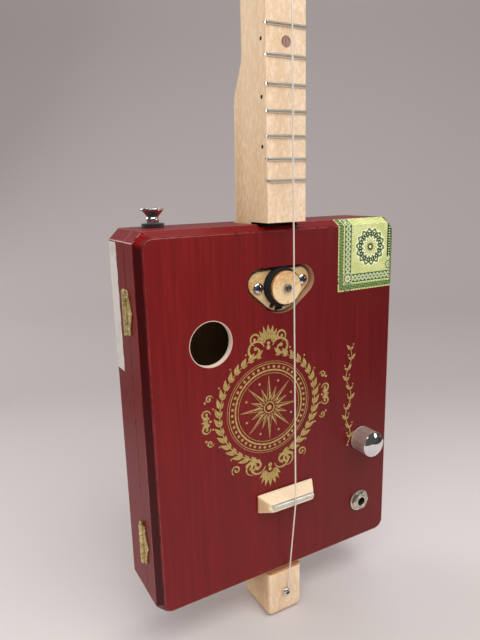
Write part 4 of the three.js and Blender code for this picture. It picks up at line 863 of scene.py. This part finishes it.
def makeButton(foot, footHeight, footBulge, waist, waistUp, rim, cup, bore):
    low, high, middle = boxOf("strap_button")
    h = (high.z - low.z) * 1000
    profile = [(bore, 0), (foot - 0.25, 0)]
    profile += arc(footBulge, footHeight / 2, foot - footBulge, footHeight / 2, -20, 60, 12) + [(waist, waistUp)]
    profile += [(waist + (rim - waist) * s, waistUp + (h - 1.1 - waistUp) * s) for s in (0.1, 0.4, 0.7, 1.0)]
    profile += arc(0.4, 0.5, rim - 0.4, h - 0.5, -20, 90)
    profile += [(cup + 0.4, h - 0.1), (cup, h - 0.5), (cup - 0.4, h - 2.5), (bore, h - 2.6)]
    remade("strap_button", profile, (middle.x, middle.y, low.z), chrome, 96, None, True, (0, 0, 1))

    low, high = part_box("strap_felt")
    h, r = (high.z - low.z) * 1000, (high.x - low.x) * 500
    profile = [(bore, 0), (r - 0.1, 0), (r, 0.1), (r, h - 0.12), (r - 0.12, h), (bore, h)]

    def fuzz(radius, height, turn):
        ruffle = 0.04 * sin(17 * turn) + 0.03 * sin(41 * turn + height)
        return radius + (ruffle if radius > 3 else 0), height

    remade("strap_felt", profile, (middle.x, middle.y, low.z), felt, 128, fuzz, True, (0, 0, 1))
    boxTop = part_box("tray_frame")[1].z
    screw = screwLook["strap"]
    seat = (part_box("strap_screw")[1].z - boxTop) * 1000 - screw["height"]
    makeScrew("strap_screw", (middle.x, middle.y, boxTop), seat=seat, direction=(0, 0, 1), **screw)


makeButton(**buttonLook)
print("strap button made")

# Hinges
hingeLook = dict(
    nail=0.8, pin=0.7, ball=1.1, edge=0.00018, leaf=1.05, spread=9.5,
    nailPlaces=dict(lid=(-3.5, -5.8, -3.5), tray=(3.6, 4.3, 3.6)))


def makeHinge(level, nail, pin, ball, edge, leaf, spread, nailPlaces):
    pinNode = "hinge_%s_pin" % level
    pinLow, pinHigh, pinMiddle = boxOf(pinNode)
    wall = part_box("tray_frame")[0].x - leaf / 1000
    for side in ("lid", "tray"):
        node = "hinge_%s_%s_leaf" % (level, side)
        eased(node, brass, edge, 50)
        profile = [(0, 0.75), (0.35, 0.7), (0.7, 0.45), (nail, 0.1), (nail, -0.3), (0, -0.3)]
        for k, reach in enumerate(nailPlaces[side]):
            y, z = mm(reach, (k - 1) * spread)
            place = (wall, pinMiddle.y + y, boxOf(node)[2].z + z)
            name = "hinge_%s_%s_nail_%d" % (level, side, k)
            turned(name, profile, place, brass, 20, direction=(-1, 0, 0), body=bodyOf(node))
    half = (pinHigh.z - pinLow.z) * 500
    profile = [(0, -half), (pin - 0.3, -half), (pin, -half + 0.3)]
    if level == "lower":  # a ball on its top end only
        profile += [(pin, half - 2 * ball)] + arc(ball, ball, 0, half - ball, -55, 84, 10) + [(0, half)]
    else:
        profile += [(pin, half - 0.3), (pin - 0.3, half), (0, half)]
    remade(pinNode, profile, pinMiddle, brass, 32, direction=(0, 0, 1))


for level in ("lower", "upper"):
    makeHinge(level, **hingeLook)
print("hinges made")

# Tuner and the pieces inside the box
for node, finish, width, angle in (
        ("tuner_plate", nickel, 0.0003, 40), ("tuner_gear", brass, 0.0002, 50), ("tuner_bushing", chrome, 0.0002, 60),
        ("tuner_post", chrome, 0.0002, 60), ("tuner_key", chrome, 0, 0), ("pickup_magnet", ferrite, 0.0003, 60),
        ("pickup_lead", leadJacket, 0, 0), ("jack_lead", leadJacket, 0, 0)):
    eased(node, finish, width, angle)
print("tuner and inner pieces dressed")

# Gilt ornament on the lid: flat closed strips, each a list of left and right edge points (x, z) in millimetres
giltLook = dict(
    thick=0.05, centre=(-11.5, 160.5), rings=((25.2, 1.1), (23.2, 0.35), (29.6, 0.5), (31.0, 0.25)),
    beads=44, beadRing=27.4, rays=((21.6, 0.19), (14.5, 0.17)), laurel=36.2,
    vine=(54.6, 118, 73, 2.3),  # middle, foot, height, sway
    scrolls=(  # on the right side: place from the centre, heading, hand, radius, turns, widths
        (3.2, 41.5, quarter - 0.3, -1, 6.6, 1.25, 0.6, 1.7), (10.5, 43.0, quarter - 1.3, 1, 4.2, 1.2, 0.5, 1.3),
        (3.6, -40.6, 0.2 - quarter, 1, 6.2, 1.25, 0.6, 1.8), (13.5, -44.5, -0.1, 1, 5.0, 1.3, 0.5, 1.5),
        (27.5, -40.5, 0.55, 1, 3.4, 1.2, 0.45, 1.1)),
    sideScrolls=((42.4, 4.6, quarter, -1, 3.3, 1.15, 0.45, 1.2), (40.6, 15.0, quarter - 0.2, -1, 2.5, 1.1, 0.4, 1.0)),
)


def spot(x, z, reach, turn):  # the point so far from (x, z), that way
    return x + reach * cos(turn), z + reach * sin(turn)


class Gilding:
    def __init__(self):
        self.points, self.faces, self.count = [], [], 0

    def strip(self, lefts, rights):
        self.count += 1
        front, back = panelFace - giltLook["thick"] * (1 + self.count / 900) / 1000, panelFace + 0.0001
        self.faces += loftFaces(len(lefts), 4, len(self.points))
        for (ax, az), (bx, bz) in zip(lefts, rights):
            corners = ((ax, front, az), (bx, front, bz), (bx, back, bz), (ax, back, az))
            self.points += [(x / 1000, y, z / 1000) for x, y, z in corners]

    def stroke(self, path, start, end, swell=False):  # swell: end is the width halfway along
        lefts, rights = [], []
        for i, point in enumerate(path):
            (ax, az), (bx, bz) = path[max(i - 1, 0)], path[min(i + 1, len(path) - 1)]
            share = i / (len(path) - 1)
            half = (start + (end - start) * (sin(pi * share) if swell else share)) / 2
            aside = atan2(bz - az, bx - ax) + quarter
            lefts.append(spot(*point, half, aside))
            rights.append(spot(*point, -half, aside))
        self.strip(lefts, rights)

    def ring(self, x, z, radius, width, steps=72):
        turns = around(steps) + [0]
        self.strip(*[[spot(x, z, radius + side * width / 2, t) for t in turns] for side in (1, -1)])

    def dot(self, x, z, radius):
        turns = [pi * i / 8 for i in range(1, 8)]
        self.strip([spot(x, z, radius, quarter + t) for t in turns], [spot(x, z, radius, quarter - t) for t in turns])

    # A leaf in two halves with its vein left open, bent sideways by bow.
    def leaf(self, x, z, heading, length, width, bow, vein=0.16):
        for side in (-1, 1):
            inner, outer = [], []
            for s in shares(8):
                swell = width / 2 * sin(pi * s ** 0.75) * (1 - 0.25 * s)
                for row, off in ((inner, vein * (1 - s)), (outer, vein * (1 - s) + swell + 0.02)):
                    reach = bow * length * s * s + side * off
                    row.append(spot(*spot(x, z, length * s, heading), reach, heading + quarter))
            self.strip(inner, outer) if side < 0 else self.strip(outer, inner)

    # A spiral that ends in a bead.
    def scroll(self, x, z, heading, hand, radius, turns, thin, thick):
        path = []
        steps = int(26 * turns)
        bend = 2 * pi * turns / steps
        for share in shares(steps):
            path.append((x, z))
            heading += hand * bend
            x, z = spot(x, z, bend * radius * (1 - 0.8 * share), heading)
        self.stroke(path, thin, thick, True)
        self.dot(*path[-1], thick * 0.75)

    def fan(self, x, z, heading, count, spread, length, width):
        gap = width * 0.8
        for i in range(count):
            s = 2 * i / (count - 1) - 1
            lean = heading + s * spread
            self.leaf(*spot(x, z, gap, lean), lean, (length - gap) * (1 - 0.3 * s * s), width, -0.25 * s)
        self.dot(x, z, width * 0.4)


def makeMedallion(g, cx, cz):  # rings, beads and a compass star
    for radius, width in giltLook["rings"]:
        g.ring(cx, cz, radius, width)
    for turn in around(giltLook["beads"]):
        g.dot(*spot(cx, cz, giltLook["beadRing"], turn), 0.95)
    for i, turn in enumerate(around(16)):
        turn += quarter
        reach, half = giltLook["rays"][i % 2]
        tip, base = spot(cx, cz, reach, turn), spot(cx, cz, 4.6, turn)
        left, right = [spot(cx, cz, 7.4, turn + side * half) for side in (-1, 1)]
        g.strip([base, left, tip], [base, spot(cx, cz, (reach + 4.6) / 2, turn), tip])
        g.stroke([base, right, tip], 0.4, 0.3)
        if i % 2:
            g.dot(*spot(cx, cz, 18.4, turn), 0.8)
    g.ring(cx, cz, 3.7, 0.7, 36)
    g.dot(cx, cz, 1.7)


def makeLaurel(g, cx, cz, hand):
    reach = giltLook["laurel"]
    bend = lambda degrees: hand * radians(degrees) - quarter
    g.stroke([spot(cx, cz, reach, bend(12 + 156 * share)) for share in shares(40)], 0.9, 0.35)
    for i, share in enumerate(shares(16)):
        turn = bend(17 + 149 * share)
        root = spot(cx, cz, reach, turn)
        along = turn + hand * quarter
        length = 8.4 - 2.2 * share
        g.leaf(*root, along - hand * 0.62, length, 3.0, 0.12 * hand)
        g.leaf(*root, along + hand * 0.5, length * 0.62, 1.9, -0.1 * hand)
        if i % 2:
            g.dot(*spot(*root, 5.2, turn - hand * 0.02), 0.62)


def makeGilding():
    g = Gilding()
    cx, cz = giltLook["centre"]
    makeMedallion(g, cx, cz)
    for hand in (-1, 1):  # scrolls and fans at the head, the foot and the sides
        makeLaurel(g, cx, cz, hand)
        mirrored = lambda heading: heading if hand > 0 else pi - heading
        for x, z, heading, curl, *rest in giltLook["scrolls"]:
            g.scroll(cx + hand * x, cz + z, mirrored(heading), curl * hand, *rest)
        g.fan(cx + hand * 42.6, cz, mirrored(0), 5, 0.95, 6.4, 2.0)
        for level in (-1, 1):
            for x, z, heading, curl, *rest in giltLook["sideScrolls"]:
                g.scroll(cx + hand * x, cz + level * z, mirrored(level * heading), curl * level * hand, *rest)
            g.dot(cx + hand * 46.0, cz + level * 12.6, 0.8)
    g.fan(cx, cz + 43.2, quarter, 7, 1.15, 12.2, 3.0)
    g.fan(cx, cz - 43.6, -quarter, 7, 1.2, 12.6, 3.1)
    g.dot(cx, cz + 40.4, 1.5)
    g.dot(cx, cz - 40.6, 1.5)
    # a slender vine beside it
    left, low, tall, sway = giltLook["vine"]
    vine = [(left + sway * sin(share * 5 * pi), low + tall * share) for share in shares(60)]
    g.stroke(vine, 0.75, 0.4)
    for i in range(4, 60, 6):
        hand = 1 if cos(i / 60 * 5 * pi) > 0 else -1
        x, z = vine[i]
        g.leaf(x, z, quarter - hand * 0.9, 5.2, 2.1, 0.15 * hand)
        g.leaf(x, z, quarter + hand * 1.1, 3.6, 1.5, -0.15 * hand)
        g.dot(x - hand * 2.6, z + 3.4, 0.6)
    g.dot(vine[0][0], vine[0][1] - 1.2, 0.8)
    addPiece("gilt_ornament", meshFrom("gilt_ornament", g.points, g.faces, False), gilt)


makeGilding()
print("ornament laid")

# Green engine-turned stamp, draped over the lid's corner; in its paint u and v are millimetres from its lower left
stampLook = dict(
    left=43.6, bottom=230.0, lift=0.07, thick=0.06, bevel=3.8, depth=6.3, cut=6.5, ground="d9da90", shade="9cb060",
    ink="255f26", deepInk="0f3a17", white="f2f2c4", chain=8.3, chainHalf=2.6, column=44.6, right=50.0, border=2.6,
    rosettes=((27.5, 28.5, 13.0, 14), (8.3, 8.3, 4.3, 8), (44.6, 15.2, 3.6, 8)))


def makeStampPaint():
    d = stampLook
    paint = Paint("engineTurnedStamp", Specular_IOR_Level=0.35)
    x, y, z = paint.axes()
    u, v = x * 1000 - d["left"], z * 1000 - d["bottom"]
    sine = lambda a: paint.maths("SINE", a)
    least = lambda a, b: paint.maths("MINIMUM", a, b)
    ground, shade, ink, deepInk, white = [d[key] for key in ("ground", "shade", "ink", "deepInk", "white")]

    # engraved waves over the ground
    waves = sine(v * 4.6 + sine(u * 0.9) * 2.2 + sine(u * 2.7) * 0.5)
    crossWaves = sine(u * 4.2 + sine(v * 1.1) * 1.8)
    blotch = paint.noise(160, 2, 0.5)
    paint.colour = paint.mix(waves.step(-0.1, 0.5) * 0.75, ground, shade)
    paint.over(crossWaves.step(0.35, 0.8) * 0.55, shade)
    paint.over(blotch.step(0.35, 0.7) * 0.3, white)

    # two interlaced chains along the left and the foot
    for along, across in ((v, u - d["chain"]), (u, v - d["chain"])):
        band = abs(across).step(d["chainHalf"], d["chainHalf"] - 0.2)
        paint.over(band * 0.95, paint.mix(crossWaves.step(0.0, 0.4) * 0.5, ink, deepInk))
        wave = sine(along * 0.95) * 1.45
        strands = least(abs(across - wave), abs(across + wave))
        paint.over(band * strands.step(0.8, 0.6), white)
        paint.over(band * strands.step(0.3, 0.15), ink)
        paint.over(abs(abs(across) - d["chainHalf"]).step(0.26, 0.14), ink)

    # rosettes: centre u, centre v, radius, petals
    for cu, cv, radius, petals in d["rosettes"]:
        du, dv = u - cu, v - cv
        r = (du * du + dv * dv) ** 0.5 * (1 / radius)
        turn = paint.maths("ARCTAN2", dv, du)
        petal, bead = sine(turn * petals), sine(turn * petals * 2)
        inside = (r + petal * 0.04).step(1, 1 - 0.2 / radius)
        paint.over(inside, white)
        paint.over(inside * sine(r * 24 + petal * 1.7).step(-0.25, 0.15) * 0.9, ink)
        fromBand = abs(r - 0.68)
        band = fromBand.step(0.1, 0.085)
        paint.over(band, deepInk)
        paint.over(band * bead.step(0.3, 0.7) * fromBand.step(0.05, 0.03), white)
        paint.over((r + petal * 0.08).step(0.36, 0.33), ground)
        paint.over((r + petal * 0.05).step(0.22, 0.19), deepInk)
        paint.over(r.step(0.09, 0.07), white)

    # an upright beaded band, then the scalloped border at the free edges
    fromColumn = abs(u - d["column"])
    column = fromColumn.step(1.9, 1.7) * v.step(20.5, 21.0)
    beads = (sine(v * 3.6) - fromColumn * 1.2).step(0.0, 0.3)
    paint.over(column, paint.mix(beads, deepInk, white))
    fromEdge = abs(least(least(u, v), d["right"] - u) - d["border"])
    scallop = sine(u * 2.6) * sine(v * 2.6) * 0.4
    netting = sine((u + v) * 3.1) * sine((u - v) * 3.1)
    net = paint.mix(netting.step(0.25, 0.5) * 0.75, ink, ground)
    net = paint.mix(netting.step(-0.2, -0.5), net, deepInk)
    paint.over(fromEdge.step(1.95 + scallop, 1.7 + scallop), net)
    return paint.coat(0.5 + blotch * 0.15, blotch, 0.0002, 0.4), "printed_paper"


def makeStamp():
    d = stampLook
    left, bottom, b, cut, lift = d["left"], d["bottom"], d["bevel"], d["cut"], d["lift"]
    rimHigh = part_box("lid_rim")[1] * 1000
    right, top = rimHigh.x, rimHigh.z
    leg = cut + b * (sqrt(2) - 1)  # the cut corner, where bevel and face meet
    face = panelFace * 1000 - lift
    low = face + d["depth"]
    far, some = lift * 0.9, lift * 0.36  # lifted off the bevels too
    inner = [(left, bottom), (right - b, bottom), (right - b, top - leg), (right - leg, top - b), (left, top - b)]
    outer = [(right + far, bottom), (right + far, top - cut + some), (right - cut + some, top + far), (left, top + far)]
    points = [mm(x, face, z) for x, z in inner] + [mm(x, low, z) for x, z in outer]
    mesh = meshFrom("stamp", points, [(0, 1, 2, 3, 4), (1, 5, 6, 2), (2, 6, 7, 3), (3, 7, 8, 4)], False)
    if mesh.polygons[0].normal.y > 0:
        mesh.flip_normals()
    stamp = addPiece("stamp", mesh, makeStampPaint())
    modify(stamp, "paper", "SOLIDIFY", thickness=d["thick"] / 1000, offset=-1)


makeStamp()

# Bare paper label beside the upper hinge, with faint ruled lines and a slightly ragged front edge
labelLook = dict(
    front=17.0, back=30.3, low=190.7, high=270.3, ragged=0.5, thick=0.12, steps=60, paper="d7cec8", stain="b8aea6",
    line="8b8680", lineLow=0.196, lineHigh=0.265)


def makeLabelPaint():
    d = labelLook
    paint = Paint("labelPaper")
    x, y, z = paint.axes()
    fibres = paint.noise(500, 4, 0.6)
    paint.colour = paint.mix(paint.noise(70, 3, 0.6).step(0.45, 0.75) * 0.6, d["paper"], d["stain"])
    ruled = paint.maths("SINE", y * 2400).step(0.93, 0.99) * fibres.step(0.42, 0.6)
    paint.over(ruled * z.within(d["lineLow"], d["lineHigh"], 0.001) * 0.5, d["line"])
    return paint.coat(0.65 + fibres * 0.2, fibres, 0.0001, 0.4), "printed_paper"


def makeLabel():
    d = labelLook
    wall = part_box("tray_frame")[0].x * 1000
    face, under, back = wall - d["thick"], wall + 0.1, d["back"]
    rows = []
    for i, share in enumerate(shares(d["steps"])):
        z = d["low"] + (d["high"] - d["low"]) * share
        front = d["front"] + d["ragged"] * (sin(i * 1.7) * 0.4 + sin(i * 0.63 + 1) * 0.6)
        rows.append([mm(x, y, z) for x, y in ((face, front), (face, back), (under, back), (under, front))])
    addPiece("label", lofted("label", rows, False), makeLabelPaint(), "tray")


makeLabel()
print("stamp and label pasted")
